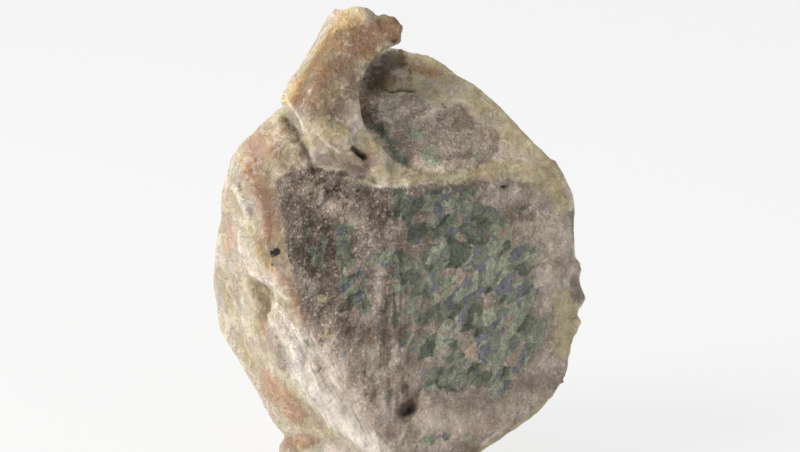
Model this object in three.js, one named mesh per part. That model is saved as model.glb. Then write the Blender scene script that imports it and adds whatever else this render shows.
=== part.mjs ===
// A hand specimen of perlite rock: one broken lump of stone, in millimetres, +Z up.
//
// The stone stands on a small flat foot. Its broken face looks towards -Y and leans back a little.
// Everything below is placed in the "face-on" frame, in which that face stands upright: x to the
// right, y away from the front and z up, from a point in the middle of the face. That frame is then
// leaned back by LEAN degrees about the x axis and lifted by FACE_HEIGHT, to stand on the foot.
//
// The shape is a field that is negative inside the stone. Fracture faces are planes, so the largest
// of their distances is a faceted lump. Lumps are joined by taking the smallest value, and scars are
// cut by taking the largest. A little noise bends the planes, and the zero surface becomes the mesh.

import * as THREE from "three";
import { ImprovedNoise } from "three/addons/math/ImprovedNoise.js";

// ---------------------------------------------------------------- driving dimensions

const LEAN = 12; // degrees that the broken face leans back
const FACE_HEIGHT = 55; // from the ground to the middle of the broken face
const CELL = 2.5; // spacing of the mesh
const NUDGE = 0.75; // how unevenly the mesh is spread over flat faces
const WORN_EDGE = 0.9; // how far a worn edge is rounded off
const NAME = "rock";

const rad = THREE.MathUtils.degToRad;
const vector = (at) => new THREE.Vector3(...at);

// ---------------------------------------------------------------- planes

/** The plane through `at` that faces `turn` degrees to the right and `tilt` degrees up. */
function face(at, turn, tilt) {
  const level = Math.cos(rad(tilt));
  const normal = vector([Math.sin(rad(turn)) * level, -Math.cos(rad(turn)) * level, Math.sin(rad(tilt))]);
  return new THREE.Plane().setFromNormalAndCoplanarPoint(normal, vector(at));
}

/**
 * The planes that close a lump behind its outline. The outline runs anticlockwise as seen from the
 * front, as [x, z, y, slope]: each plane passes through that point and the next one at depth y, and
 * draws in towards the back by `slope` degrees.
 */
function behind(outline) {
  return outline.slice(1).map(([nextX, nextZ], i) => {
    const [x, z, y, slope] = outline[i];
    const out = vector([z - nextZ, 0, nextX - x]).normalize().negate();
    const normal = out.multiplyScalar(Math.cos(rad(slope))).add(vector([0, Math.sin(rad(slope)), 0]));
    return new THREE.Plane().setFromNormalAndCoplanarPoint(normal, vector([x, y, z]));
  });
}

// ---------------------------------------------------------------- the main lump

const LUMP = [
  face([16.4, 3.0, -15.2], 13, -3), // right half of the broken face
  face([-0.4, -1.2, -15.2], -8, -3), // left half of the broken face
  face([-1.3, -0.5, -15.2], 2.5, -3), // the flat between the two halves
  face([0.0, -2.4, 8.6], 9.4, 37), // upper face, above the ridge
  face([-24.5, 4.2, -2.0], -40, 2), // rounded band left of the broken face
  face([-24.5, 9.4, 24.6], -38.8, 22.8), // shoulder
  face([-26.8, 5.3, -10.0], -60, -12), // pale left side
  face([-19.3, 2.2, -15.0], -34, -14), // white bevel between it and the broken face
  face([34.4, 7.3, -10.0], 58, 0), // right edge
  face([25.4, 6.7, -38.6], 46, -47), // lower right edge
  ...behind([
    [-24.6, 24.9, 11.0, 6],
    [-31.1, 20.7, 13.0, 26],
    [-36.2, 16.2, 13.0, 2],
    [-37.6, 8.5, 18.0, 2],
    [-39.3, 0.5, 25.0, 6],
    [-41.1, -8.5, 29.0, 8],
    [-40.9, -15.0, 30.5, 16],
    [-39.4, -23.4, 30.0, 18],
    [-36.0, -32.2, 26.0, 18],
    [-32.0, -37.4, 22.0, 18],
    [-27.2, -41.8, 17.0, 16],
    [-20.4, -48.2, 14.0, 10],
    [-10.6, -56.0, 14.0, 2],
    [1.0, -57.4, 12.0, 4],
    [17.2, -47.2, 11.0, 14],
    [26.6, -41.2, 11.5, 20],
    [31.2, -35.6, 13.0, 20],
    [33.4, -29.3, 13.5, 16],
    [37.9, -20.8, 13.5, 18],
    [38.7, -12.3, 13.5, 22],
    [36.8, -4.0, 12.0, 18],
    [35.2, 6.4, 10.5, 12],
    [32.9, 11.5, 10.0, 8],
    [30.8, 14.7, 12.0, 4],
    [26.0, 20.2, 16.0, 3],
    [19.2, 26.4, 19.0, 6],
    [12.4, 32.6, 20.5, 16],
    [8.1, 35.4, 21.0, 24],
    [0.8, 37.5, 20.0, 30],
    [-3.5, 38.8, 18.0, 30],
    [-24.6, 24.9],
  ]),
  face([8.0, 47.0, -10.0], 172, 6), // the back
  face([-30.0, 42.0, -12.0], 220, -6),
  face([26.0, 34.0, -18.0], 126, -10),
  face([-4.0, 45.0, -40.0], 186, -38),
  face([2.0, 36.0, 20.0], 176, 40),
  face([19.0, 23.0, 27.0], 128, 36),
];

// ---------------------------------------------------------------- the horn at the top left

const HORN = [
  face([-6.0, 2.0, 36.0], -1, 21.5), // its front, which leans back
  face([-12.0, -4.9, 16.0], 1, 2), // its foot, which stands upright
  face([-15.4, 1.6, 34.0], -50, 28), // yellow left flank
  face([-19.5, -3.8, 20.7], -71, -15), // wall of the groove
  face([-19.5, -4.2, 20.7], -31.5, -30), // facet beside the groove
  face([-14.4, -5.1, 16.6], -20, -44), // facet below the ledge
];
const HORN_OUTLINE = behind([
  [-0.9, 30.0, 3.0, 20],
  [1.0, 39.8, 4.5, 24],
  [0.1, 42.8, 5.0, 26],
  [-2.0, 44.0, 5.2, 26],
  [-6.4, 45.3, 6.0, 26],
  [-12.7, 47.4, 8.0, 26],
  [-16.4, 45.6, 10.0, 26],
  [-18.4, 41.6, 8.6, 24],
  [-23.1, 31.6, 6.8, 26],
  [-25.9, 24.8, 7.0, 20],
  [-27.4, 20.0],
]);
const HORN_BACK = face([-10.0, 18.5, 38.0], 186, 10);
const UPPER_HORN = [...HORN, ...HORN_OUTLINE, HORN_BACK, face([-8.7, 0.0, 22.0], 90, -60)];
const HORN_FOOT = [...HORN, ...HORN_OUTLINE, HORN_BACK, face([-4.1, -3.4, 9.4], 26, 10)];
// The hollows that bound the horn on the right, as cones that widen towards the back.
const HOLLOWS = [
  { x: 2.7, z: 25.9, radius: 11.4, widens: 0.22 },
  { x: 12.0, z: 22.0, radius: 15.6, widens: 0.3 },
];

// ---------------------------------------------------------------- the lobe at the lower left

const LOBE = [
  face([-18.0, 12.0, -48.0], -38, -6),
  face([-17.0, 13.0, -43.4], -24, 58),
  face([-12.0, 8.5, -50.0], -16, -2),
  ...behind([
    [-6.0, -47.5, 12.0, 20],
    [-15.0, -43.6, 14.0, 24],
    [-22.0, -43.2, 18.0, 24],
    [-25.6, -45.6, 20.0, 16],
    [-26.2, -50.0, 20.0, 16],
    [-25.4, -58.0],
  ]),
  face([-2.0, 20.0, -50.0], 90, 0),
  face([-18.0, 36.0, -50.0], 195, 10),
];

// ---------------------------------------------------------------- dents

// Soft hollows worn along a line from one point to another.
const DENTS = [
  { from: [-23.6, 6.6, 21.6], to: [-18.8, 0.2, 12.6], width: 2.2, depth: 1.6 }, // beside the horn
  { from: [-17.0, 0.4, 10.4], to: [-6.0, -1.0, 7.0], width: 2.4, depth: 1.4 }, // below the ledge
  { from: [-1.2, -1.2, -14.0], to: [0.8, -0.4, -34.0], width: 3.0, depth: 0.8 }, // down the broken face
  { from: [1.6, 0.2, -37.6], to: [2.0, 0.4, -38.6], width: 2.2, depth: 1.1 }, // pit at its lower end
  { from: [-28.0, 10.4, -13.5], to: [-29.2, 12.0, -17.5], width: 3.4, depth: 1.6 }, // in the pale side
  { from: [-20.0, 4.0, -28.0], to: [-12.0, 2.6, -38.0], width: 3.6, depth: 0.8 }, // in the white bevel
  { from: [8.0, 6.0, 20.0], to: [20.0, 8.0, 19.0], width: 7.0, depth: 1.0 }, // in the upper face
  { from: [18.0, 46.0, 4.0], to: [26.0, 42.0, -8.0], width: 9.0, depth: 2.6 }, // on the back
  { from: [-20.0, 46.0, -18.0], to: [-24.0, 44.0, -26.0], width: 8.0, depth: 2.2 },
  { from: [37.0, 24.0, -2.0], to: [36.0, 26.0, -14.0], width: 7.0, depth: 2.0 },
];

// ---------------------------------------------------------------- the field

const noise = new ImprovedNoise();
const RIPPLES = [
  { wave: 21, depth: 1.3 },
  { wave: 9, depth: 0.6 },
];

/** The largest of the distances to some planes, with the edges rounded off. */
function insideAll(planes, point) {
  let most = -Infinity;
  for (const plane of planes) {
    const distance = plane.distanceToPoint(point);
    const overlap = Math.max(WORN_EDGE - Math.abs(most - distance), 0);
    most = Math.max(most, distance) + (overlap * overlap) / (4 * WORN_EDGE);
  }
  return most;
}

/** A point moved a little by smooth noise, so that flat faces become uneven ones. */
function bent(point) {
  const moved = point.clone();
  for (const { wave, depth } of RIPPLES) {
    const x = point.x / wave + 7.3;
    const y = point.y / wave + 2.9;
    const z = point.z / wave + 5.1;
    moved.x += depth * noise.noise(x, y, z);
    moved.y += depth * noise.noise(x + 31.7, y, z);
    moved.z += depth * noise.noise(x, y + 47.1, z);
  }
  return moved;
}

/** How much a dent takes off the stone at a point. */
function dentAt({ from, to, width, depth }, point) {
  const line = new THREE.Line3(vector(from), vector(to));
  const nearest = line.closestPointToPoint(point, true, new THREE.Vector3());
  return depth * Math.exp(-nearest.distanceToSquared(point) / width ** 2);
}

/** The field in the face-on frame: negative inside the stone. */
function faceOnField(point) {
  const p = bent(point);
  const hollows = HOLLOWS.map(
    ({ x, z, radius, widens }) => radius + widens * p.y - Math.hypot(p.x - x, p.z - z),
  );
  const horn = Math.max(Math.min(insideAll(UPPER_HORN, p), insideAll(HORN_FOOT, p)), ...hollows);
  const stone = Math.min(insideAll(LUMP, p), horn, insideAll(LOBE, p));
  return DENTS.reduce((sum, dent) => sum + dentAt(dent, p), stone);
}

const towardsFaceOn = new THREE.Matrix4()
  .makeRotationX(rad(LEAN))
  .multiply(new THREE.Matrix4().makeTranslation(0, 0, -FACE_HEIGHT));

/** The field in the part's own frame, cut off flat at the foot. */
function field(x, y, z) {
  return Math.max(faceOnField(new THREE.Vector3(x, y, z).applyMatrix4(towardsFaceOn)), -z);
}

// ---------------------------------------------------------------- from field to mesh

const HALVINGS = 14; // how often a grid edge is halved to find the surface on it
const NEARLY_FLAT = 0.99; // mean length of the normals in a cell above which it counts as flat
const HOLD = 0.08; // how firmly a corner is held to the middle of its cell where no plane fixes it
const REACH = 0.55 * CELL; // the furthest a corner goes from that middle

/** Where the surface crosses the line from a point inside the stone to one outside it. */
function crossingBetween(inside, outside) {
  const low = inside.clone();
  const high = outside.clone();
  for (let halving = 0; halving < HALVINGS; halving++) {
    const middle = low.clone().lerp(high, 0.5);
    (field(...middle) < 0 ? low : high).copy(middle);
  }
  return low.lerp(high, 0.5);
}

/** The field's slope at a point, as a unit vector that points out of the stone. */
function slopeAt(p) {
  const step = 0.05;
  return new THREE.Vector3(
    field(p.x + step, p.y, p.z) - field(p.x - step, p.y, p.z),
    field(p.x, p.y + step, p.z) - field(p.x, p.y - step, p.z),
    field(p.x, p.y, p.z + step) - field(p.x, p.y, p.z - step),
  ).normalize();
}

/** A sideways nudge of up to `reach` that keeps the mesh on flat faces from lining up with its grid. */
function nudge(p, normal, reach) {
  const pick = (offset) => noise.noise(p.x * 1.7 + offset, p.y * 1.7 + offset, p.z * 1.7);
  return vector([pick(0.3), pick(11.6), pick(23.9)]).multiplyScalar(reach).projectOnPlane(normal);
}

/** Whether a normal is that of the flat the stone stands on. */
const isFoot = (normal) => normal.z < -0.999;

/** The point that lies best on all the tangent planes, kept near their middle. */
function bestPoint(points, normals) {
  const middle = points.reduce((sum, p) => sum.add(p), new THREE.Vector3()).divideScalar(points.length);
  const facing = normals.reduce((sum, n) => sum.add(n), new THREE.Vector3()).divideScalar(points.length);
  if (facing.length() > NEARLY_FLAT && !isFoot(facing)) {
    facing.normalize();
    const spread = points.reduce((sum, p) => sum + p.distanceTo(middle), 0) / points.length;
    middle.add(nudge(middle, facing, NUDGE * spread));
    return middle.addScaledVector(facing, -field(...middle));
  }
  const a = [HOLD, 0, 0, 0, HOLD, 0, 0, 0, HOLD];
  const b = [0, 0, 0];
  points.forEach((p, i) => {
    const n = normals[i].toArray();
    const reach = normals[i].dot(p.clone().sub(middle));
    for (let row = 0; row < 3; row++) {
      b[row] += n[row] * reach;
      for (let column = 0; column < 3; column++) a[3 * row + column] += n[row] * n[column];
    }
  });
  const solved = new THREE.Vector3(...b).applyMatrix3(new THREE.Matrix3().set(...a).invert());
  const best = middle.add(solved.clampLength(0, REACH));
  best.z = normals.some(isFoot) ? 0 : Math.max(best.z, 0);
  return best;
}

/** How far the middle of a line between two points is from the surface. */
function offSurface(p, q) {
  return Math.abs(field((p.x + q.x) / 2, (p.y + q.y) / 2, (p.z + q.z) / 2));
}

/** How sharply two triangles fold against each other: 0 where they lie flat, 2 * CELL folded shut. */
function foldOf(corners, vertices) {
  const [a, b, c, d, e, f] = corners.map((corner) => vertices[corner]);
  const one = new THREE.Triangle(a, b, c).getNormal(new THREE.Vector3());
  const other = new THREE.Triangle(d, e, f).getNormal(new THREE.Vector3());
  return CELL * (1 - one.dot(other));
}

/** The field's zero surface inside a box, as one closed indexed geometry. */
function surfaceOf(low, high) {
  const count = ["x", "y", "z"].map((k) => Math.ceil((high[k] - low[k]) / CELL) + 1);
  const at = (i, j, k) => new THREE.Vector3(low.x + i * CELL, low.y + j * CELL, low.z + k * CELL);
  const index = (i, j, k) => (k * count[1] + j) * count[0] + i;
  const values = new Float64Array(count[0] * count[1] * count[2]);
  for (let k = 0; k < count[2]; k++)
    for (let j = 0; j < count[1]; j++)
      for (let i = 0; i < count[0]; i++) values[index(i, j, k)] = field(...at(i, j, k).toArray());

  // Where the surface crosses each grid edge, with its normal there.
  const steps = [
    [1, 0, 0],
    [0, 1, 0],
    [0, 0, 1],
  ];
  const crossings = [];
  const cells = new Map();
  for (let k = 1; k < count[2] - 1; k++)
    for (let j = 1; j < count[1] - 1; j++)
      for (let i = 1; i < count[0] - 1; i++)
        steps.forEach(([di, dj, dk], axis) => {
          const outward = values[index(i, j, k)] < 0;
          if (outward === values[index(i + di, j + dj, k + dk)] < 0) return;
          const ends = [at(i, j, k), at(i + di, j + dj, k + dk)];
          const point = outward ? crossingBetween(...ends) : crossingBetween(...ends.reverse());
          const crossing = { point, normal: slopeAt(point), outward };
          crossings.push(crossing);
          const [b, c] = [steps[(axis + 1) % 3], steps[(axis + 2) % 3]];
          crossing.cells = [
            [0, 0],
            [1, 0],
            [1, 1],
            [0, 1],
          ].map(([p, q]) => index(i - p * b[0] - q * c[0], j - p * b[1] - q * c[1], k - p * b[2] - q * c[2]));
          for (const cell of crossing.cells) {
            if (!cells.has(cell)) cells.set(cell, { points: [], normals: [] });
            cells.get(cell).points.push(point);
            cells.get(cell).normals.push(crossing.normal);
          }
        });

  const vertices = [];
  for (const cell of cells.values()) {
    cell.vertex = vertices.length;
    vertices.push(bestPoint(cell.points, cell.normals));
  }
  const triangles = [];
  for (const { cells: around, outward } of crossings) {
    const quad = around.map((cell) => cells.get(cell).vertex);
    if (!outward) quad.reverse();
    const [a, b, c, d] = quad;
    const alongAC = [a, b, c, a, c, d];
    const alongBD = [b, c, d, b, d, a];
    const offAC = offSurface(vertices[a], vertices[c]) + foldOf(alongAC, vertices);
    const offBD = offSurface(vertices[b], vertices[d]) + foldOf(alongBD, vertices);
    triangles.push(...(offAC < offBD ? alongAC : alongBD));
  }
  return new THREE.BufferGeometry()
    .setAttribute("position", new THREE.Float32BufferAttribute(vertices.flatMap((v) => v.toArray()), 3))
    .setIndex(triangles);
}

// ---------------------------------------------------------------- the part

const geometry = surfaceOf(new THREE.Vector3(-49, -24, -4.1), new THREE.Vector3(46, 56, 106));
geometry.computeBoundingBox();
const middle = geometry.boundingBox.getCenter(new THREE.Vector3());
geometry.translate(-middle.x, -middle.y, -geometry.boundingBox.min.z);
geometry.computeVertexNormals();

const stone = new THREE.MeshStandardMaterial({ color: 0x8c7f72, roughness: 0.85, metalness: 0 });
const rock = new THREE.Mesh(geometry, stone);
rock.name = NAME;

const specimen = new THREE.Group();
specimen.add(rock);

export default specimen;
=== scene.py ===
"""A hand specimen of perlite rock, standing on a pale studio floor.

The stone is one fine mesh, made from a copy of the solid that it stands for. Its broken face looks
towards -Y and leans back, so its features are placed in the "face-on" frame, in which that face
stands upright: x to the right, y away from the front and z up, in millimetres, from a point in the
middle of the face. A feature is given by x and z alone, as it lines up for an eye in front of the
face, and its depth is found on the stone.

The mesh carries a weight for each kind of skin that the stone has; some of them also paint shade
into its creases and hollows, and light where the horn's shadow falls. Its material breaks the
edges of those weights up with noise, so that a stain ends in specks, as on the real stone.
"""

from __future__ import annotations

import logging
import math
from dataclasses import dataclass, field
from enum import Enum

import bpy
import numpy as np
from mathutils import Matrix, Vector, noise


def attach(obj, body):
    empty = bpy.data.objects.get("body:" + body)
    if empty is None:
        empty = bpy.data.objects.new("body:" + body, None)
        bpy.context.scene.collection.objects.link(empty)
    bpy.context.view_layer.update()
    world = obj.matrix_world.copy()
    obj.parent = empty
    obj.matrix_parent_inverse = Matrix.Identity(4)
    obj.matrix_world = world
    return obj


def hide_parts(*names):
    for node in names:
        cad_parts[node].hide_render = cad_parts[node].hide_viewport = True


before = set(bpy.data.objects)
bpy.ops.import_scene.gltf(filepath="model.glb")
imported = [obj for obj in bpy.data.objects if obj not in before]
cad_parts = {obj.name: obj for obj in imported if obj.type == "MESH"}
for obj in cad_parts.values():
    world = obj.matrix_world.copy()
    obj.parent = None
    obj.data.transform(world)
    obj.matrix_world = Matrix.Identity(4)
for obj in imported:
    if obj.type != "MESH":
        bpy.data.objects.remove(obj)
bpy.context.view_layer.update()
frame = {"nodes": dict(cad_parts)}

log = logging.getLogger("rock")

MM = 0.001
NODE = "rock"
BODY = "root"
PLACE = "place"  # the attribute that keeps each vertex's face-on place

Spot = tuple[float, float]
Place = tuple[float, float, float]
Stops = tuple[tuple[float, str], ...]
Socket = bpy.types.NodeSocket


# ---------------------------------------------------------------- colour and nodes


def linear(code: str) -> tuple[float, float, float, float]:
    """Turns an sRGB hex colour into a linear one.

    Args:
        code: The colour, as six hex digits after a hash sign.

    Returns:
        Red, green, blue and an alpha of 1.
    """
    parts = [int(code[i : i + 2], 16) / 255 for i in (1, 3, 5)]
    red, green, blue = (p / 12.92 if p <= 0.04045 else ((p + 0.055) / 1.055) ** 2.4 for p in parts)
    return red, green, blue, 1.0


def add(
    tree: bpy.types.NodeTree,
    kind: str,
    inputs: dict[str | int, object],
    output: str | int = 0,
    stops: Stops = (),
    **settings: object,
) -> Socket:
    """Adds one node with its settings and links.

    Args:
        tree: The node tree that gets it.
        kind: The node's type.
        inputs: For each input socket, the socket that feeds it or its value.
        output: Which output to return.
        stops: Stops of a colour ramp, as position and hex colour.
        settings: The node's other settings.

    Returns:
        The output socket. A node that ends a tree has none.
    """
    node = tree.nodes.new(kind)
    for name, value in settings.items():
        setattr(node, name, value)
    for key, value in inputs.items():
        if isinstance(value, bpy.types.NodeSocket):
            tree.links.new(value, node.inputs[key])
        else:
            node.inputs[key].default_value = value
    for index, (position, code) in enumerate(stops):
        elements = node.color_ramp.elements
        stop = elements[index] if index < len(elements) else elements.new(position)
        stop.position = position
        stop.color = linear(code)
    return node.outputs[output] if node.outputs else None


# ---------------------------------------------------------------- the face-on frame


@dataclass(frozen=True)
class FaceOn:
    """The frame in which the broken face stands upright.

    Attributes:
        lean: How far the broken face leans back, in degrees.
        middle: The middle of that face in the part's own frame, in millimetres.
        eye: How far in front of it the eye is for which the features line up.
    """

    lean: float = 12.0
    middle: Place = (1.23, -20.107, 55.0)
    eye: float = 455.6

    def axes(self) -> np.ndarray:
        """The frame's three axes as rows, in the part's own frame."""
        cos, sin = math.cos(math.radians(self.lean)), math.sin(math.radians(self.lean))
        return np.array([[1.0, 0.0, 0.0], [0.0, cos, -sin], [0.0, sin, cos]])

    def places(self, points: np.ndarray) -> np.ndarray:
        """Turns points of the part, in metres, into face-on places in millimetres."""
        return (points / MM - np.array(self.middle)) @ self.axes().T

    def point(self, place: Place) -> Vector:
        """Turns a face-on place in millimetres into a point of the part in metres."""
        return Vector((np.array(place) @ self.axes() + np.array(self.middle)) * MM)

    def lined_up(self, places: np.ndarray) -> np.ndarray:
        """Where each face-on place lines up for the eye, as x and z, one in each row."""
        return places[:, [0, 2]] * (self.eye / (self.eye + places[:, 1]))[:, None]

    def on_stone(self, piece: bpy.types.Object, spots: tuple[Spot, ...]) -> list[np.ndarray]:
        """Finds the face-on places on a stone that line up with some spots.

        Args:
            piece: The stone.
            spots: The spots, as x and z.

        Returns:
            The places. A spot just off the stone gives the nearest place on it.
        """
        start = self.point((0, -self.eye, 0))
        found = []
        for x, z in spots:
            through = self.point((x, 0, z))
            ray = (through - start).normalized()
            hit, where, _, _ = piece.ray_cast(start, ray)
            if not hit:
                # The ray passes the stone: its nearest skin is looked for from each place along it.
                reach = (through - start).length
                tries = [start + ray * (reach + deeper * MM) for deeper in range(-10, 50, 2)]
                nearest = [piece.closest_point_on_mesh(place)[1] for place in tries]
                where = min(zip(tries, nearest), key=lambda pair: (pair[0] - pair[1]).length)[1]
            found.append(self.places(np.array([where]))[0])
        return found


# ---------------------------------------------------------------- what is on the skin


class Skin(Enum):
    """A weight that the mesh carries for its material."""

    CORE = "core"  # how deep inside the freshly broken part a place lies, in millimetres
    GREEN = "green"  # flakes of green altered glass
    SOOT = "soot"  # dark, coarse core
    PALE = "pale"  # bleached core, and painted light where the horn's shadow falls on the upper face
    OLIVE = "olive"
    GOLD = "gold"
    PINK = "pink"
    BROWN = "brown"  # old, brown rind
    MAUVE = "mauve"
    WHITE = "white"
    RIM = "rim"  # cream edges and chips
    RUST = "rust"
    DIRT_AND_SHADE = "dirt_and_shade"  # brown dirt in cracks, and painted shade in creases and hollows
    BLACK = "black"
    FIBRE = "fibre"  # splintery ledges
    STREAK = "streak"  # upright grooves
    HOLLOW = "hollow"  # how far a place lies below its surroundings, in millimetres, for painted shade and dirt in hollows


# What the stone's back is clouded with.
CLOUDED = (Skin.OLIVE, Skin.PINK, Skin.GOLD, Skin.MAUVE, Skin.WHITE)


@dataclass(frozen=True)
class Stroke:
    """A weight brushed onto the stone along a path.

    Attributes:
        skin: The weight.
        path: Spots, as x and z in the face-on frame.
        radius: Half the stroke's width, in millimetres.
        edge: Over how many millimetres the stroke fades.
        strength: The weight in its middle.
    """

    skin: Skin
    path: tuple[Spot, ...]
    radius: float
    edge: float
    strength: float


@dataclass(frozen=True)
class Carving:
    """A groove or a rib along a path.

    Attributes:
        path: Spots, as x and z in the face-on frame.
        radius: Half its width, in millimetres.
        height: How far it stands out, or is cut in where it is negative.
    """

    path: tuple[Spot, ...]
    radius: float
    height: float


def distance_to(path: list[np.ndarray], places: np.ndarray) -> np.ndarray:
    """Measures how far each place is from a path.

    Args:
        path: The path's corners.
        places: The places, one in each row.

    Returns:
        The distances.
    """
    best = np.full(len(places), np.inf)
    for a, b in zip(path, path[1:]):
        along = np.clip((places - a) @ (b - a) / max(float((b - a) @ (b - a)), 1e-9), 0, 1)
        best = np.minimum(best, np.linalg.norm(places - a - along[:, None] * (b - a), axis=1))
    return best


def depth_inside(outline: list[Spot], spots: np.ndarray) -> np.ndarray:
    """Measures how far each spot lies inside an outline.

    Args:
        outline: The outline's corners.
        spots: The spots, one in each row.

    Returns:
        The distances to the outline, negative outside it.
    """
    nearest = np.full(len(spots), np.inf)
    inside = np.zeros(len(spots), bool)
    for a, b in zip(outline, outline[1:] + outline[:1]):
        start, side = np.array(a), np.array(b) - np.array(a)
        along = np.clip((spots - start) @ side / (side @ side), 0, 1)
        nearest = np.minimum(nearest, np.linalg.norm(spots - start - along[:, None] * side, axis=1))
        straddles = (spots[:, 1] > a[1]) != (spots[:, 1] > b[1])
        rise = np.where(straddles, b[1] - a[1], 1.0)
        inside ^= straddles & (spots[:, 0] < a[0] + (spots[:, 1] - a[1]) / rise * (b[0] - a[0]))
    return np.where(inside, nearest, -nearest)


def rough_at(places: np.ndarray, size: float, aside: float = 0.0) -> np.ndarray:
    """Gives noise around 0 at each place.

    Args:
        places: The places, one in each row.
        size: How big its lumps are, in millimetres.
        aside: A shift that gives another noise.

    Returns:
        The noise.
    """
    return np.array([noise.noise(Vector(place) / size + Vector((aside,) * 3)) for place in places])


# ---------------------------------------------------------------- the stone's features

BROKEN_FACE = [
    (-25.5, 9.5), (-24.8, 4.0), (-23.6, -1.0), (-23.0, -7.0), (-21.6, -12.0), (-20.4, -16.5),
    (-19.4, -22.5), (-20.0, -27.5), (-19.5, -33.0), (-16.5, -38.5), (-10.0, -44.5), (-4.0, -50.0),
    (24.0, -50.0), (40.0, -34.0), (42.0, -12.0), (36.0, 2.5), (31.0, 6.0), (29.0, 9.0),
    (20.0, 9.3), (8.0, 8.4), (-3.0, 7.6), (-8.5, 9.0), (-14.5, 11.0), (-20.0, 11.5),
]  # fmt: skip
UPPER_CORE = [
    (-8.0, 22.0), (-6.0, 27.0), (2.5, 27.0), (6.0, 25.2), (9.2, 24.4), (14.0, 23.8), (16.0, 21.6),
    (19.6, 19.0), (20.4, 15.4), (18.6, 12.6), (11.0, 11.4), (6.5, 10.0), (2.0, 11.6), (-1.0, 13.5),
    (-4.0, 17.0),
]  # fmt: skip
# A second break, on the far side: its middle, face-on, and its radius.
FAR_BREAK: tuple[Place, float] = ((12.0, 42.0, -14.0), 17.0)

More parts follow.
